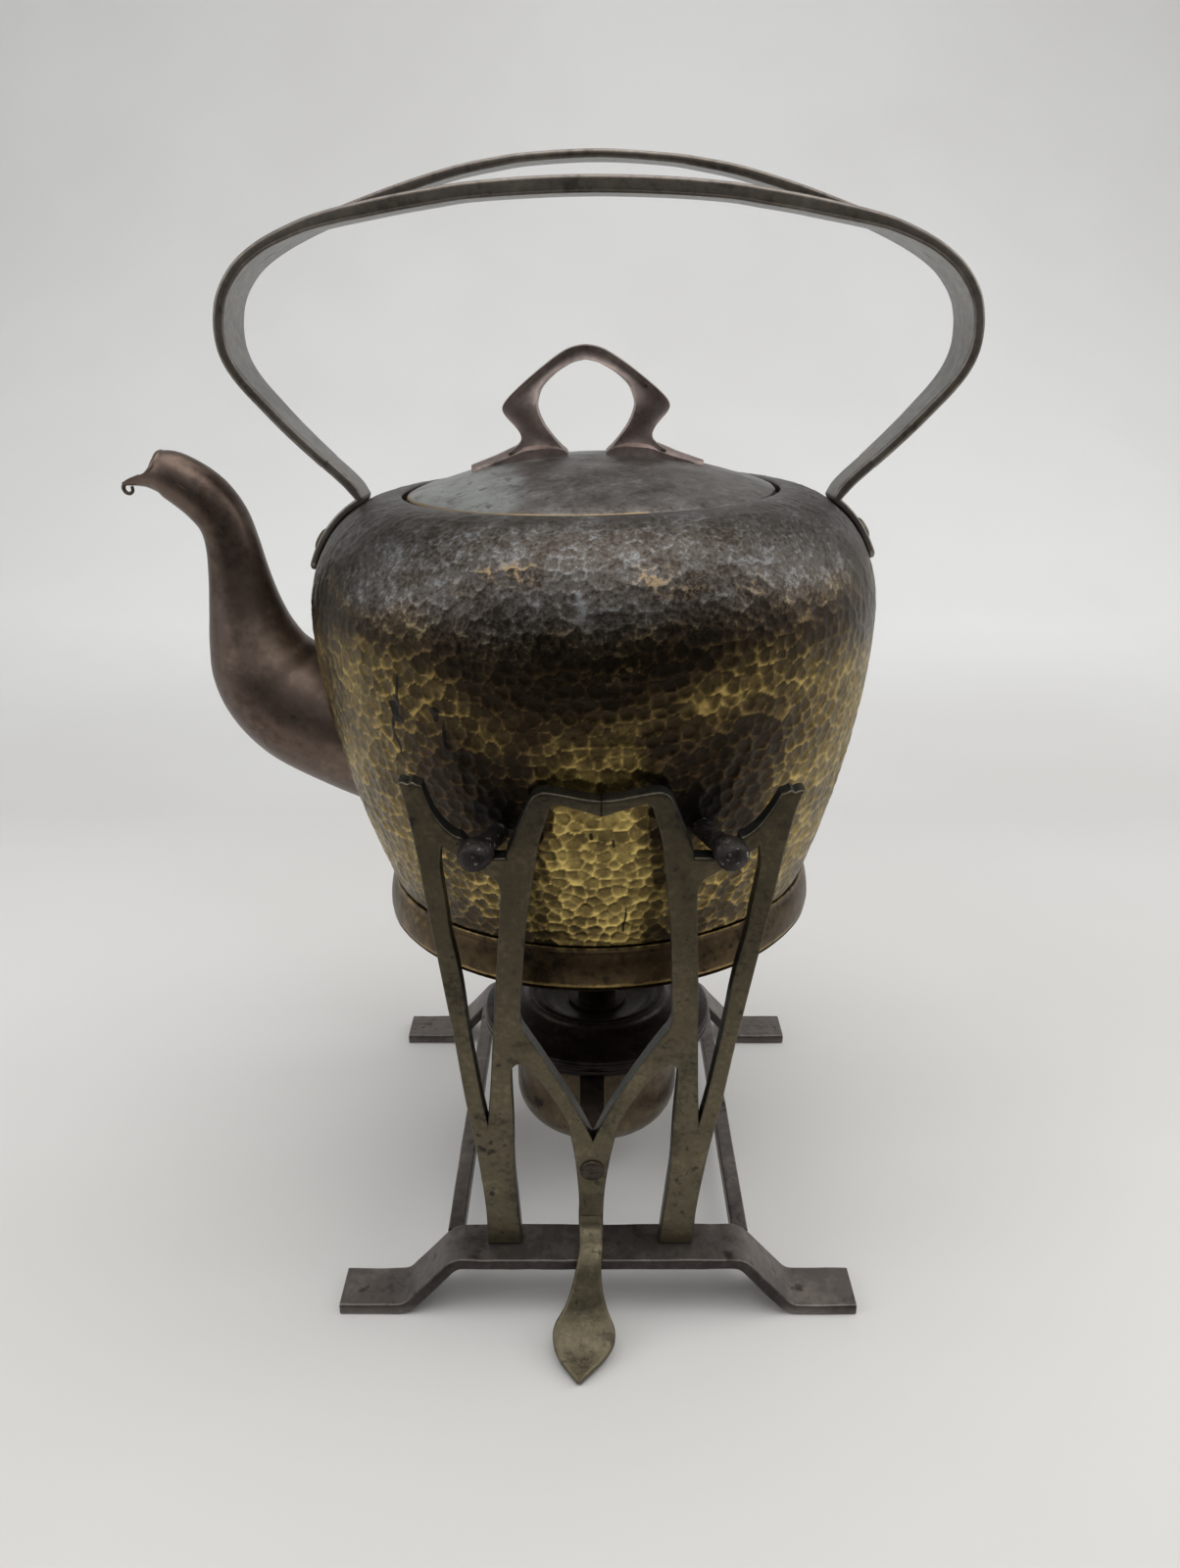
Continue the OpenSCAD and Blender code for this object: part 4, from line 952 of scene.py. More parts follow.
def knob_half(s):
    ko, ki = cr(KO[:11], 7), cr(KI[:11], 7)
    for _ in range(22):                                      # soft outer corners
        ko[1:-1] = (ko[:-2] + 2 * ko[1:-1] + ko[2:]) / 4
    kd, kc = cr([[x, 0] for x in KD[:11]], 7)[:, 0], cr([[x, 0] for x in KC[:11]], 7)[:, 0]
    out, tone = [], []
    m = 15
    for i in range(len(ko)):
        w = np.linalg.norm(ko[i] - ki[i])
        u = (ko[i] - ki[i]) / w
        v = np.linspace(0, 1, m)
        # half section: from inner edge to outer edge along the front, concave between crisp edges
        prof = kd[i] - kc[i] * np.sin(np.pi * v) ** 0.8
        ring_pts = []
        for vv, yy in zip(v, prof):
            ring_pts.append([ki[i][0] + u[0] * w * vv, -yy, ki[i][1] + u[1] * w * vv])
        fr = np.array(ring_pts)
        # rounded outer and inner faces
        def face(c, out_dir, ymax):
            y = np.linspace(-ymax, ymax, 9)[1:-1]
            bul = 0.35 * (1 - (y / ymax) ** 2)
            return np.stack([c[0] + out_dir[0] * bul, y, c[1] + out_dir[1] * bul], 1)
        of = face(ko[i], u, kd[i])
        bk = fr[::-1] * [1, -1, 1]
        inf = face(ki[i], -u, kd[i])[::-1]
        rg = np.vstack([fr, of, bk, inf])
        rg[:, 0] *= s
        out.append(rg)
        t = np.zeros(len(rg))
        t[:2] = t[m-2:m] = 0.75
        t[m+7:m+9] = 0.75
        t[2*m+5:2*m+7] = 0.75
        tone.append(t)
    return np.array(out), np.array(tone)


bd = Build()
Rr, tr = knob_half(1)
Ll, tl = knob_half(-1)
P = np.concatenate([Ll[:0:-1], Rr])
tone = np.concatenate([tl[:0:-1], tr])
P[..., 0] += -0.9
P = P + np.stack([0.12 * noise(P, 9, 17), 0.1 * noise(P, 8, 18), 0 * P[..., 2]], -1)
bd.grid(hang(P), tone)
# feet: their undersides follow the lid
for s in (-1, 1):
    fp, ft = [], []
    K = np.linspace(0, 1, 22)
    for k in K:
        x = 6.0 + (36.6 - 6.0) * k
        zt = np.interp(x, [6.0, 8.2, 12, 19.6, 22.8, 28, 35.8, 36.6], [264.6, 266.4, 267.2, 267.3, 266.3, 264.0, 261.2, 260.9])
        zb = lid_z(x - 0.9 * s) - 0.25
        zt = max(zt, zb + 0.35)
        hw = np.interp(k, [0, 0.3, 0.7, 0.93, 1], [5.4, 5.9, 5.2, 3.6, 1.6])
        y = np.linspace(-hw, hw, 13)
        crown = zt - (zt - zb - 0.3) * (abs(y) / hw) ** 3.0 * np.interp(k, [0, 0.4, 1], [0.25, 0.4, 0.9])
        topl = np.stack([np.full(13, s * x - 0.9), y, crown], 1)
        bot = np.stack([np.full(13, s * x - 0.9), y[::-1], np.full(13, zb)], 1)
        fp.append(np.vstack([topl, bot]))
        ft.append(np.r_[0.35 + 0.4 * np.clip((abs(y) / hw - 0.75) * 3, 0, 1), np.full(13, 0.5)])
    bd.grid(hang(np.array(fp)), np.array(ft))
bd.done("lid_loop", "lid", "knob_copper", M["knob"], ["lid_knob"], sharp=42)

# ------------------------------------------------------------------ hanging pegs
PEG_Z = 169.3
inner_at = float(wall_r(PEG_Z)) + 0.2 + 3.3 / math.cos(math.radians(13))


def peg_place(s, q):
    a = math.radians(q * (90 - s * (20 if s > 0 else 18.8)))

    def place(P):
        P = np.array(P, float)
        r, side_, up = P[..., 2], P[..., 1], P[..., 0]
        return np.stack([r * math.cos(a) - side_ * math.sin(a), r * math.sin(a) + side_ * math.cos(a), PEG_Z - up], -1)
    return place


def peg_dents(P):
    P = P.copy()
    f = 1 + 0.05 * noise(P, 2.6, 20) + 0.03 * noise(P, 1.2, 21)
    P[..., 0] *= f
    P[..., 1] *= f
    return P


end = [[3.0, 96.0], [3.15, 97.2], [3.7, 98.8], [4.25, 100.4], [4.55, 102.2], [4.6, 103.2], [4.3, 104.8], [3.6, 106.2], [2.5, 107.05], [1.2, 107.35], [0, 107.4]]
bd = Build()
for q in (-1, 1):
    a = np.linspace(-math.pi / 2, 0, 7)
    prof = [[3 * math.cos(x), inner_at + 3 * math.sin(x)] for x in a]
    prof[0][0] = 0
    prof = np.vstack([prof, even([[3, inner_at + 0.6], [3, 95.4]], 1.0), cr(end, 3)])
    prof[:, 0] = np.minimum(prof[:, 0], 4.6)
    bd.revolve(prof, 40, dr=peg_dents, place=peg_place(-1, q))
bd.done("spout_side_pegs", "pour_pegs", "peg_iron", M["peg"], ["pour_pegs"], sharp=None)
bd = Build()
for q in (-1, 1):
    prof = np.vstack([[[0, 83.2]], [[2.8, 83.2], [3.0, 83.3]], even([[3, 83.4], [3, 95.4]], 1.0), cr(end, 3)])
    bd.revolve(prof, 40, dr=peg_dents, place=peg_place(1, q))
bd.done("far_side_pegs", "kettle", "peg_iron", M["peg"], ["rest_pegs"], sharp=50)

# ------------------------------------------------------------------ arched frames
DECK, PLY, PT, LEAN, FOOT_X = 22.4, 76.9, 5.5, math.radians(4.85), -2.5
peg_s = (PEG_Z - DECK) / math.cos(LEAN)
peg_out = PLY + peg_s * math.sin(LEAN)


def half_plate(arm_top, angle, sx):
    px = peg_out * math.tan(math.radians(angle)) - sx * (FOOT_X + 0.0185 * peg_s)
    A = cr([[3.9, 12], [4, 20], [4.9, 31], [6.3, 41.2], [8.2, 50.9], [12, 58.9], [16.9, 67.3], [21.4, 72.6], [24, 72.4], [24.9, 68.5],
            [24.4, 50.8], [24.3, 33], [23.3, 18], [22.15, 0.15]], 5)
    B = cr([[33.35, 0.15], [33.7, 15.5], [35.4, 33], [37.1, 46], [39.1, 60], [41.8, 83], [43.2, 93], [45.9, 113],
            [48.2, 130], [50, 145], [52.1, 158], [53.9, arm_top]], 4)
    rough = [[52.6, arm_top + 0.1], [51.4, arm_top - 0.5], [50.2, arm_top + 0.15], [49.0, arm_top - 0.6]]
    C = cr([[47.7, arm_top - 1], [45.3, 158.4], [42.3, 153.6], [39.4, 150.9], [37.6, 150.2]], 5)
    Dn = [[px + 4.9 * math.cos(math.radians(a)), peg_s + 3.6 * math.sin(math.radians(a))] for a in range(0, -91, -10)]
    E = [[25.9, peg_s - 3.5]]
    G = cr([[25.4, 146], [23.2, 151.5], [20.8, 157.5], [18.9, 161.8], [17, 163.4], [14.8, 163.8], [9.3, 162.8], [4.5, 161.8], [0, 161.3]], 5)
    return np.vstack([A, B, rough, C, Dn, E, G])


def mir(p):
    return p[::-1] * [-1, 1]


def skew(p):
    p = np.array(p, float)
    return np.stack([p[:, 0] + FOOT_X + 0.0185 * p[:, 1], p[:, 1]], 1)


slot = np.vstack([cr([[43, 147.4], [43.6, 142], [43.3, 137], [42.3, 128], [41.6, 120], [39.9, 110], [38.6, 100], [37.2, 85.5], [34.2, 62], [32.4, 50.7]], 4),
                  cr([[31.5, 62], [29.9, 90], [29.4, 100], [28.6, 111], [27.5, 127], [27.4, 133], [28.8, 136.8], [32.5, 139.4], [36.7, 142.3]], 4)])



def half_arch(b):
    """Half of the opening; b is how far the fork's arm bulges into it."""
    return np.vstack([cr([[0, 43.6], [4.2 - 0.6 * b, 52.5], [9.3 - b, 62.1], [16.6 - 0.95 * b, 76], [21.6 - 0.2 * b, 86]], 5),
                      cr([[22.3, 89], [21.8, 98], [21, 111], [20.3, 121], [18.7, 134], [17.8, 141], [16.6, 149], [14.3, 157], [13.9, 158.7]], 4),
                      cr([[12, 160.2], [10, 159.6], [5, 158.1], [0, 156.4]], 4)])


outline = np.vstack([half_plate(164.3, 20, 1), mir(half_plate(166.8, 18.8, -1))[1:]])
arch = np.vstack([half_arch(1.4), mir(half_arch(0.8))[1:-1]])


def clean(p, least=0.25):
    out = [p[0]]
    for x in p[1:]:
        if np.linalg.norm(x - out[-1]) > least:
            out.append(x)
    if np.linalg.norm(out[0] - out[-1]) < least:
        out.pop()
    return np.array(out)


def plate(name, m, body, mat, node):
    """Frame cut from sheet: outline and holes extruded, with edges rounded over."""
    cu = bpy.data.curves.new(name, "CURVE")
    cu.dimensions = "2D"
    cu.fill_mode = "BOTH"
    BV = 0.75
    cu.extrude = (PT / 2 - BV) * 0.001
    cu.bevel_depth = BV * 0.001
    cu.bevel_resolution = 2
    cu.offset = -BV * 0.001
    for pts in (outline, slot, mir(slot), arch):
        p = clean(skew(pts))
        s = cu.splines.new("POLY")
        s.points.add(len(p) - 1)
        s.points.foreach_set("co", np.c_[p * 0.001, np.zeros(len(p)), np.ones(len(p))].astype(np.float32).ravel())
        s.use_cyclic_u = True
    tmp = bpy.data.objects.new(name + "_line", cu)
    bpy.context.scene.collection.objects.link(tmp)
    dg = bpy.context.evaluated_depsgraph_get()
    me = bpy.data.meshes.new_from_object(tmp.evaluated_get(dg))
    bpy.data.objects.remove(tmp)
    import bmesh
    bm = bmesh.new()
    bm.from_mesh(me)
    bmesh.ops.remove_doubles(bm, verts=bm.verts, dist=1e-6)
    bmesh.ops.dissolve_degenerate(bm, edges=bm.edges, dist=1e-6)
    bmesh.ops.triangulate(bm, faces=[f for f in bm.faces if len(f.verts) > 4])
    long_e = [e for e in bm.edges if e.calc_length() > 0.006]
    bmesh.ops.subdivide_edges(bm, edges=long_e, cuts=1)
    bmesh.ops.triangulate(bm, faces=[f for f in bm.faces if len(f.verts) > 4])
    bmesh.ops.recalc_face_normals(bm, faces=bm.faces)
    bm.to_mesh(me)
    bm.free()
    co = np.zeros(len(me.vertices) * 3)
    me.vertices.foreach_get("co", co)
    co = co.reshape(-1, 3) * 1000
    x, s, n = co[:, 0], co[:, 1], co[:, 2]
    tone = np.clip(1 - (PT / 2 - abs(n)) / 0.9, 0, 1) * 0
    nrm = np.zeros(len(me.vertices) * 3)
    me.vertices.foreach_get("normal", nrm)
    nrm = nrm.reshape(-1, 3)
    tone = np.clip(1 - abs(abs(nrm[:, 2]) - 0.7) / 0.45, 0, 1) * 0.9
    Pn = np.stack([x, s, n], 1)
    n = n + np.sign(n) * 0.10 * noise(Pn, 11, 30) + 0.2 * noise(Pn * [1, 1, 0], 34, 31)
    x = x + 0.10 * noise(Pn, 9, 32) * (1 - abs(nrm[:, 2]))
    y = -PLY - s * math.sin(LEAN) - n * math.cos(LEAN)
    z = DECK + s * math.cos(LEAN) - n * math.sin(LEAN)
    z = np.maximum(z, DECK + 0.02)
    if m:
        y = -y
    V = np.stack([(x + AX) * 0.001, y * 0.001, z * 0.001], 1)
    me.vertices.foreach_set("co", V.astype(np.float32).ravel())
    if m:
        me.flip_normals()
    me.update()
    at = me.attributes.new("tone", "FLOAT", "POINT")
    at.data.foreach_set("value", tone.astype(np.float32))
    # cut marks the edge faces, which the frame material paints darker as shade
    me.attributes.new("cut", "FLOAT", "POINT").data.foreach_set("value", np.clip(1.25 - abs(nrm[:, 2]) * 1.5, 0, 1).astype(np.float32))
    me.polygons.foreach_set("use_smooth", np.ones(len(me.polygons), bool))
    me.set_sharp_from_angle(angle=math.radians(48))
    me.materials.clear()
    me.materials.append(mat)
    ob = bpy.data.objects.new(name, me)
    bpy.context.scene.collection.objects.link(ob)
    w = ob.modifiers.new("even", "WEIGHTED_NORMAL")
    w.keep_sharp = True
    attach(ob, body)
    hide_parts(node)
    return ob


plate("front_arch_frame", 0, "stand", M["frame"], "front_plate")
plate("rear_arch_frame", 1, "stand", M["frame"], "rear_plate")

# tails
TL = [[-77.88, 34.4, 5], [-78, 32.2, 4.7], [-79.3, 29.6, 4.3], [-82.2, 27.6, 4], [-85.8, 26.3, 4], [-89, 23.9, 4],
      [-91.4, 19.8, 4], [-93.6, 14.5, 4], [-97.2, 9.6, 3.8], [-103.6, 5.2, 3.4], [-109.5, 3.1, 2.9], [-115, 1.7, 2.4]]
LEAF = [[4, -74], [3.9, -86], [4.3, -91], [6.4, -95], [9.2, -99], [9.8, -102], [9, -105.5], [6.6, -109.2], [3, -112.8], [0.5, -115.2]]


def tail(name, m, node):
    L = even(cr(TL, 8), 0.7)
    for _ in range(14):
        L[1:-1] = (L[:-2] + 2 * L[1:-1] + L[2:]) / 4
    lf = cr(LEAF, 8)
    o = np.argsort(-lf[:, 1])
    n2 = sides(L[:, :2])
    out, tone = [], []
    for i, (y, z, t) in enumerate(L):
        hw = float(np.interp(-y, -lf[o, 1], lf[o, 0]))
        sh = -2.2 * min(1, max(0, (-86 - y) / 12)) - 1.4 * max(0, (-104 - y) / 11)
        cx = FOOT_X + 0.0185 * 12 + sh
        k = min(1, max(0, (hw - 4.2) / 3)) if y > -103 else min(1, hw / 9.5)      # 0 stem, 1 leaf
        ex = 4.2 - 1.4 * k
        a = np.arange(28) * 2 * math.pi / 28
        u = np.sign(np.cos(a)) * abs(np.cos(a)) ** (2 / ex) * hw
        v = np.sign(np.sin(a)) * abs(np.sin(a)) ** (2 / ex) * t / 2
        dish = -0.7 * k * (1 - (u / max(hw, 0.1)) ** 2)        # the leaf is a little hollow on top
        v = np.where(v < 0, v - dish * 0.8, v)
        yy = y + n2[i, 0] * v
        zz_ = z + n2[i, 1] * v
        out.append(np.stack([cx + u, yy, np.maximum(zz_, 0.35)], 1))
        tone.append(np.clip((abs(u) / max(hw, 0.1) - 0.8) * 4, 0, 1) * 0.6 + 0.12 * k)
    P = np.array(out)
    P = P + np.stack([0.1 * noise(P, 8, 33), 0 * P[..., 1], 0.12 * noise(P, 10, 34)], -1)
    P[..., 2] = np.maximum(P[..., 2], 0.3)
    if m:
        P[..., 1] *= -1
    bd = Build()
    bd.grid(P, np.array(tone))
    bd.done(name, "stand", "frame_brass", M["frame"], [node], sharp=60)


tail("front_leaf_tail", 0, "front_tail")
tail("rear_leaf_tail", 1, "rear_tail")


# cross strips
def strip(name, m, node):
    pts = [[-84.1, 2.0], [-62.5, 2.0], [-46.3, 20.4], [46.3, 20.4], [62.5, 2.0], [84.1, 2.0]]
    L = even(fillet(pts, 6.5, 8), 1.6)
    n2 = sides(L)
    out, tone = [], []
    for i in range(len(L)):
        sec = rrect(4.0, 17.1, 0.9, 3)
        sec = np.vstack([sec])
        dens = []
        for j in range(len(sec)):                              # extra points across the wide faces
            a_, b_ = sec[j], sec[(j+1) % len(sec)]
            dens.append(a_)
            if np.linalg.norm(b_ - a_) > 5:
                dens += [a_ + (b_ - a_) * t for t in (0.2, 0.4, 0.6, 0.8)]
        sec = np.array(dens)
        b = L[i][None] + n2[i][None] * sec[:, 0:1]
        out.append(np.stack([b[:, 0], sec[:, 1] - 70 - 8.55, b[:, 1]], 1))
        tone.append(np.clip((abs(sec[:, 1]) - 7.6) / 0.9, 0, 1) * np.clip(0.4 + 0.6 * abs(sec[:, 0]) / 2, 0, 1) * 0.8)
    P = np.array(out)
    # face marks the strip's front and back edge faces, which its material paints darker as shade
    face = np.clip((np.abs(P[..., 1] + 78.5) - 8.0) / 0.5, 0, 1) * ease(P[..., 2], 0.5, 5)
    lift = 0.25 * noise(P * [1, 0.6, 0], 13, 40) + 0.12 * noise(P, 5, 41)
    up = (P[..., 2] > 2.2)
    P[..., 2] += np.where(up, lift, 0.0)
    P[..., 1] += 0.2 * noise(P * [1, 0, 1], 15, 42) * np.sign(P[..., 1] + 78.5)
    # dents where the strip was bent by hand
    for cx, sgn in ((-54, 1), (54, 1)):
        dd = np.hypot((P[..., 0] - cx) / 4.5, (P[..., 1] + 85) / 3.0)
        P[..., 2] -= 0.5 * np.exp(-dd ** 2) * up
    P[..., 2] = np.maximum(P[..., 2], 0.0)
    if m:
        P[..., 1] *= -1
    bd = Build()
    bd.grid(P, np.array(tone))
    bd.done(name, "stand", "strip_copper", M["strip"], [node], sharp=50, more={"cut": np.r_[face.ravel(), 0, 0]})


strip("front_cross_strip", 0, "front_bracket")
strip("rear_cross_strip", 1, "rear_bracket")


def rail(name, s, node):
    Y = np.linspace(-70, 70, 57)
    sec = rrect(5.4, 5.6, 0.7, 3)
    P = np.array([np.stack([s * 47.3 + sec[:, 0], np.full(len(sec), y), 17.4 + sec[:, 1]], 1) for y in Y])
    P = P + np.stack([0.1 * noise(P, 12, 45), 0 * P[..., 1], 0.1 * noise(P, 12, 46)], -1)
    P[0, :, 1], P[-1, :, 1] = -70, 70
    t = np.clip((np.abs(sec[:, 0]) + np.abs(sec[:, 1]) - 4.2) / 1.2, 0, 1) * 0.7
    bd = Build()
    bd.grid(P, np.repeat(t[None], len(Y), 0))
    bd.done(name, "stand", "strip_copper", M["strip"], [node], sharp=50)


rail("left_side_rail", -1, "left_rail")
rail("right_side_rail", 1, "right_rail")

# ------------------------------------------------------------------ burner holder
RING = 59.5
ARM_S = 31.9
ARM_X = FOOT_X + 0.0185 * ARM_S


def on_plate(P, m):
    """x, s along the slope, n outwards."""
    x, s, n = P[..., 0], P[..., 1], P[..., 2]
    y = -PLY - s * math.sin(LEAN) - n * math.cos(LEAN)
    z = DECK + s * math.cos(LEAN) - n * math.sin(LEAN)
    return np.stack([x, -y if m else y, z], -1)


bd = Build()
rp = fillet([[31, RING - 2.4], [38, RING - 2.4], [38, RING], [31, RING]], 0.5, 3, closed=True)
bd.revolve(rp, 192)
for m in (0, 1):
    # one strap: level from the ring, bent down behind the frame
    n_in = -PT / 2 - 1.25
    s_low, s_hi = 26.2, 35.0
    low = on_plate(np.array([0, s_low, n_in]), 0)
    hi = on_plate(np.array([0, s_hi, n_in]), 0)
    L = np.array([[-36.0, RING - 1.3], [-70.8, RING - 1.3], [hi[1], hi[2]], [low[1], low[2]]])
    L = even(fillet([L[0], np.array([hi[1] - 0.3, RING - 1.3]), L[3]], 2.6, 7), 1.0)
    n2 = sides(L)
    out, tone = [], []
    for i in range(len(L)):
        wdt = 8.6 - 0.6 * max(0, 1 - (len(L) - 1 - i) / 3.0)
        sec = rrect(2.3, wdt, 0.5, 3)
        b = L[i][None] + n2[i][None] * sec[:, 0:1]
        out.append(np.stack([ARM_X + sec[:, 1], b[:, 0], b[:, 1]], 1))
        tone.append(np.clip((abs(sec[:, 1]) - wdt/2 + 0.8), 0, 1) * 0.7)
    P = np.array(out)
    if m:
        P[..., 1] *= -1
    bd.grid(P, np.array(tone))
bd.done("burner_ring_and_arms", "stand", "burner_bronze", M["arm"], ["burner_holder"], sharp=50)

bd = Build()
for m in (0, 1):
    def place(P, m=m):
        P = np.array(P, float)
        return on_plate(np.stack([ARM_X + P[..., 0], ARM_S + P[..., 1], P[..., 2]], -1), m)
    prof = np.array(dome(3.85, 1.25)) + [0, PT / 2]
    bd.revolve(prof, 40, np.clip(prof[:, 1] - PT/2 - 0.5, 0, 1) * 0.8, place=place)
    bd.revolve([[0, -PT/2 - 3.6], [2.3, -PT/2 - 3.6], [2.8, -PT/2 - 3.3], [2.8, -PT/2 - 2.6], [0, -PT/2 - 2.4]], 32, place=place)
bd.done("arm_rivet_heads", "stand", "rivet_brass", M["plug"], ["holder_rivets"], sharp=50)

# ------------------------------------------------------------------ burner
a = np.radians(np.arange(-90, 1, 7.5))
outer_b = [[15.2 + 15 * math.cos(x), 32.4 + 15 * math.sin(x)] for x in a]
inner_b = [[15.2 + 13.8 * math.cos(x), 32.4 + 13.8 * math.sin(x)] for x in a[::-1]]
bp_ = np.vstack([[[0, 17.4]], outer_b, [[30.2, 40], [30.2, 50], [30.35, 54.6], [30.5, 55.2], [30.2, 55.8], [30.2, 59.5], [30.0, 59.8], [29.2, 59.8], [29.0, 59.5], [29.0, 50], [29.0, 40]], inner_b, [[0, 18.6]]])
Build().revolve(bp_, 192, np.clip((bp_[:, 1] - 54) / 2, 0, 1) * np.clip((56.5 - bp_[:, 1]) / 2, 0, 1) * 0.5, lambda P: P + np.stack([0.12 * noise(P, 18, 50), 0.12 * noise(P, 18, 51), 0 * P[..., 2]], -1)).done(
    "burner_bowl", "burner", "bowl_brass", M["bowl"], ["burner_reservoir"], sharp=48)
cv = 42.0
cov = [[29.0, 59.85], [cv - 0.9, 59.85], [cv - 0.2, 60.2], [cv, 60.8], [cv - 0.15, 61.4], [cv - 0.7, 61.9], [cv - 0.25, 62.3], [cv - 0.1, 63.0], [cv - 0.25, 63.7],
       [cv - 0.7, 64.1], [cv - 0.45, 64.6], [cv - 0.6, 65.1], [cv - 1.2, 65.6], [38.5, 66.3], [34, 67.3], [30, 68.2], [27.3, 68.9], [26.4, 69.8], [25.7, 70.55], [25, 70.8],
       [24.2, 70.4], [23.5, 69.5], [22.9, 69.25], [22.3, 69.5], [21.5, 70], [20.7, 69.6], [19.6, 68.5], [18.2, 67.4], [15, 66.35], [9, 66.2], [7.6, 66.2], [7.4, 66.0], [7.4, 65.2],
       [7.6, 65.0], [15, 65], [19, 66.2], [22, 67.6], [27, 67.4], [29.0, 66.4]]
cw = [0.75 * max(0, 1 - abs(z - 70.4) / 0.9) + 0.5 * (r > cv - 0.3) for r, z in cov]
# the cover and sleeve take painted shade from the kettle above through their dark colours
Build().revolve(cov, 224, cw).done("burner_cover", "burner", "burner_bronze", M["burner"], ["burner_top"], sharp=40)
tb = fillet([[5.5, 60], [7, 60], [7, 66.3], [10.5, 66.3], [10.5, 67.3], [7, 67.5], [7, 73.4], [6.6, 74], [5.5, 74]], 0.2, 2, closed=True)
Build().revolve(tb, 96).done("wick_sleeve", "wick_unit", "burner_bronze", M["burner"], ["wick_tube"], sharp=50)


def strands(P):
    P = P.copy()
    t = np.arctan2(P[..., 1], P[..., 0])
    f = 1 - 0.06 * (1 + np.sin(9 * t + P[..., 2] * 0.7)) / 2 - 0.04 * (1 + np.sin(9 * t - P[..., 2] * 0.7)) / 2
    P[..., 0] *= f
    P[..., 1] *= f
    return P


wp = np.vstack([[[0, 24]], [[4.6, 24.1]], even([[5.1, 24.6], [5.1, 72.8]], 0.8), [[4.9, 73.8], [4.2, 74.3], [2.4, 74.5], [0, 74.3]]])
Build().revolve(wp, 90, dr=strands).done("wick_braid", "wick_unit", "wick_cotton", M["wick"], ["wick"], sharp=None)

# ------------------------------------------------------------------ studio
def floor():
    pts = [[-2.6, 0]] + [[0.62, 0]]
    c = [0.62, 0.9]
    for k in range(1, 25):
        x = math.radians(-90 + 90 * k / 24)
        pts.append([c[0] + 0.9 * math.cos(x), c[1] + 0.9 * math.sin(x)])
    pts.append([1.52, 3.4])
    pts = np.array(pts)
    X = np.linspace(-3.2, 3.2, 9)
    V, F = [], []
    for y, z in pts:
        for x in X:
            V.append((x, y, z))
    m = len(X)
    for i in range(len(pts) - 1):
        for j in range(m - 1):
            F.append((i*m + j, i*m + j + 1, (i+1)*m + j + 1, (i+1)*m + j))
    me = bpy.data.meshes.new("floor")
    me.from_pydata(V, [], F)
    me.polygons.foreach_set("use_smooth", np.ones(len(me.polygons), bool))
    mat, nt, b, co = start("paper")
    n1 = tex(nt, co, 3, 3, 0.5)
    sep = nd(nt, "ShaderNodeSeparateXYZ")
    nt.links.new(co, sep.inputs[0])
    paper = ramp(nt, n1, [(0.3, (0.80, 0.79, 0.77)), (0.7, (0.84, 0.835, 0.825))])
    shade = ramp(nt, remap(nt, sep.outputs[1], -0.4, 0.8, 0, 1, False), [(0.08, (0.80, 0.78, 0.75)), (0.33, (0.88, 0.87, 0.86)), (0.62, (0.76, 0.755, 0.75)), (0.8, (0.86, 0.86, 0.86)), (1.0, (1, 1, 1))], "LINEAR")
    nt.links.new(mixc(nt, 1.0, paper, shade, "MULTIPLY"), b.inputs["Base Color"])
    b.inputs["Roughness"].default_value = 0.62
    b.inputs["Specular IOR Level"].default_value = 0.25
    me.materials.append(mat)
    ob = bpy.data.objects.new("floor", me)
    bpy.context.scene.collection.objects.link(ob)


floor()


def flag(name, pts):
    """Black studio flag: it only shows as the dark stretch in the metal's reflections."""
    me = bpy.data.meshes.new(name)
    me.from_pydata(pts, [], [(0, 1, 2, 3)])
    mat, nt, b, co = start(name + "_cloth")
    sep = nd(nt, "ShaderNodeSeparateXYZ")
    nt.links.new(co, sep.inputs[0])
    cloth = ramp(nt, tex(nt, co, 40, 3, 0.5), [(0.3, (0.012, 0.012, 0.012)), (0.7, (0.022, 0.021, 0.02))])
    nt.links.new(mixc(nt, remap(nt, sep.outputs[1], -0.5, -0.42), cloth, (0.3, 0.29, 0.28)), b.inputs["Base Color"])
    b.inputs["Roughness"].default_value = 0.9
    b.inputs["Specular IOR Level"].default_value = 0.1
    me.materials.append(mat)
    ob = bpy.data.objects.new(name, me)
    bpy.context.scene.collection.objects.link(ob)
    ob.visible_camera = ob.visible_diffuse = ob.visible_shadow = ob.visible_transmission = False


flag("flag_low", [(-1.6, -0.42, 0.003), (1.6, -0.42, 0.003), (1.6, -2.55, 0.003), (-1.6, -2.55, 0.003)])


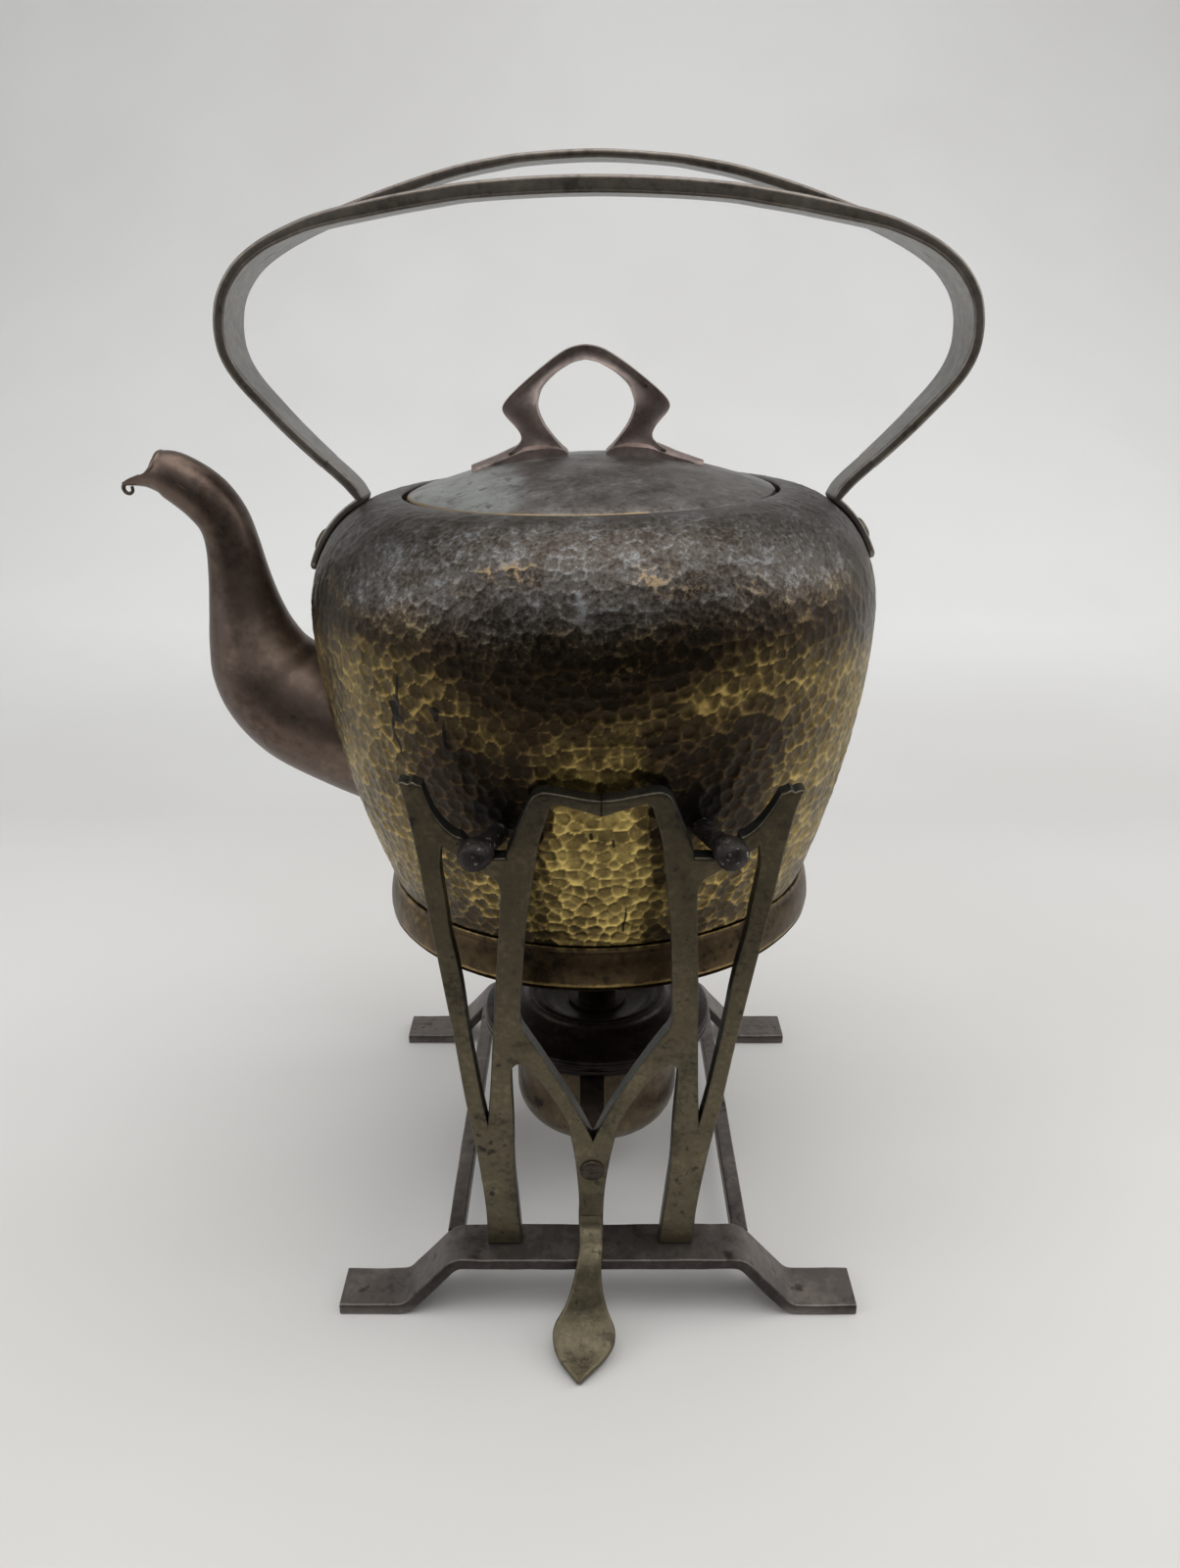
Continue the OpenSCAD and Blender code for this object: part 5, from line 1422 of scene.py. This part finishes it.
def area(name, loc, to, size, power, col=(1, 1, 1), size_y=None):
    l = bpy.data.lights.new(name, "AREA")
    l.shape = "RECTANGLE"
    l.size, l.size_y = size, size_y or size
    l.energy = power
    l.color = col
    o = bpy.data.objects.new(name, l)
    o.location = loc
    from mathutils import Vector
    o.rotation_euler = (Vector(to) - Vector(loc)).to_track_quat("-Z", "Y").to_euler()
    bpy.context.scene.collection.objects.link(o)


area("over", (0.1, -0.1, 1.5), (0, 0, 0.1), 1.5, 14, (1, 0.99, 0.97))
area("left", (-1.3, -0.35, 0.9), (0, 0, 0.15), 1.0, 5, (0.96, 0.98, 1))
area("right", (1.35, 0.1, 0.9), (0, 0, 0.15), 1.0, 6, (1, 1, 1))

wd = bpy.data.worlds.new("room")
bpy.context.scene.world = wd
wd.use_nodes = True
nt = wd.node_tree
nt.nodes.clear()
wo = nd(nt, "ShaderNodeOutputWorld")
bg = nd(nt, "ShaderNodeBackground")
nt.links.new(bg.outputs[0], wo.inputs[0])
tc = nd(nt, "ShaderNodeTexCoord").outputs["Generated"]
sx = nd(nt, "ShaderNodeSeparateXYZ")
nt.links.new(tc, sx.inputs[0])
# darker room on the camera's side, near eye level
frontness = remap(nt, sx.outputs[1], -0.25, -0.85)
level = mth(nt, "MULTIPLY", remap(nt, sx.outputs[2], 0.55, 0.2), 1.0)
dark = mth(nt, "MULTIPLY", frontness, level)
colr = mixc(nt, mth(nt, "MULTIPLY", dark, 0.93), (0.74, 0.76, 0.78), (0.05, 0.05, 0.052))
nt.links.new(colr, bg.inputs["Color"])
bg.inputs["Strength"].default_value = 0.62

cam = bpy.data.cameras.new("camera")
cam.lens = 27.0
cam.sensor_width = 36.0
cam.clip_start, cam.clip_end = 0.01, 50
co = bpy.data.objects.new("camera", cam)
co.location = (0.0163, -0.3831, 0.2991)
co.rotation_euler = (math.radians(69), 0, 0)
bpy.context.scene.collection.objects.link(co)
bpy.context.scene.camera = co

bpy.context.scene.view_settings.view_transform = "Standard"
bpy.context.scene.view_settings.look = "None"
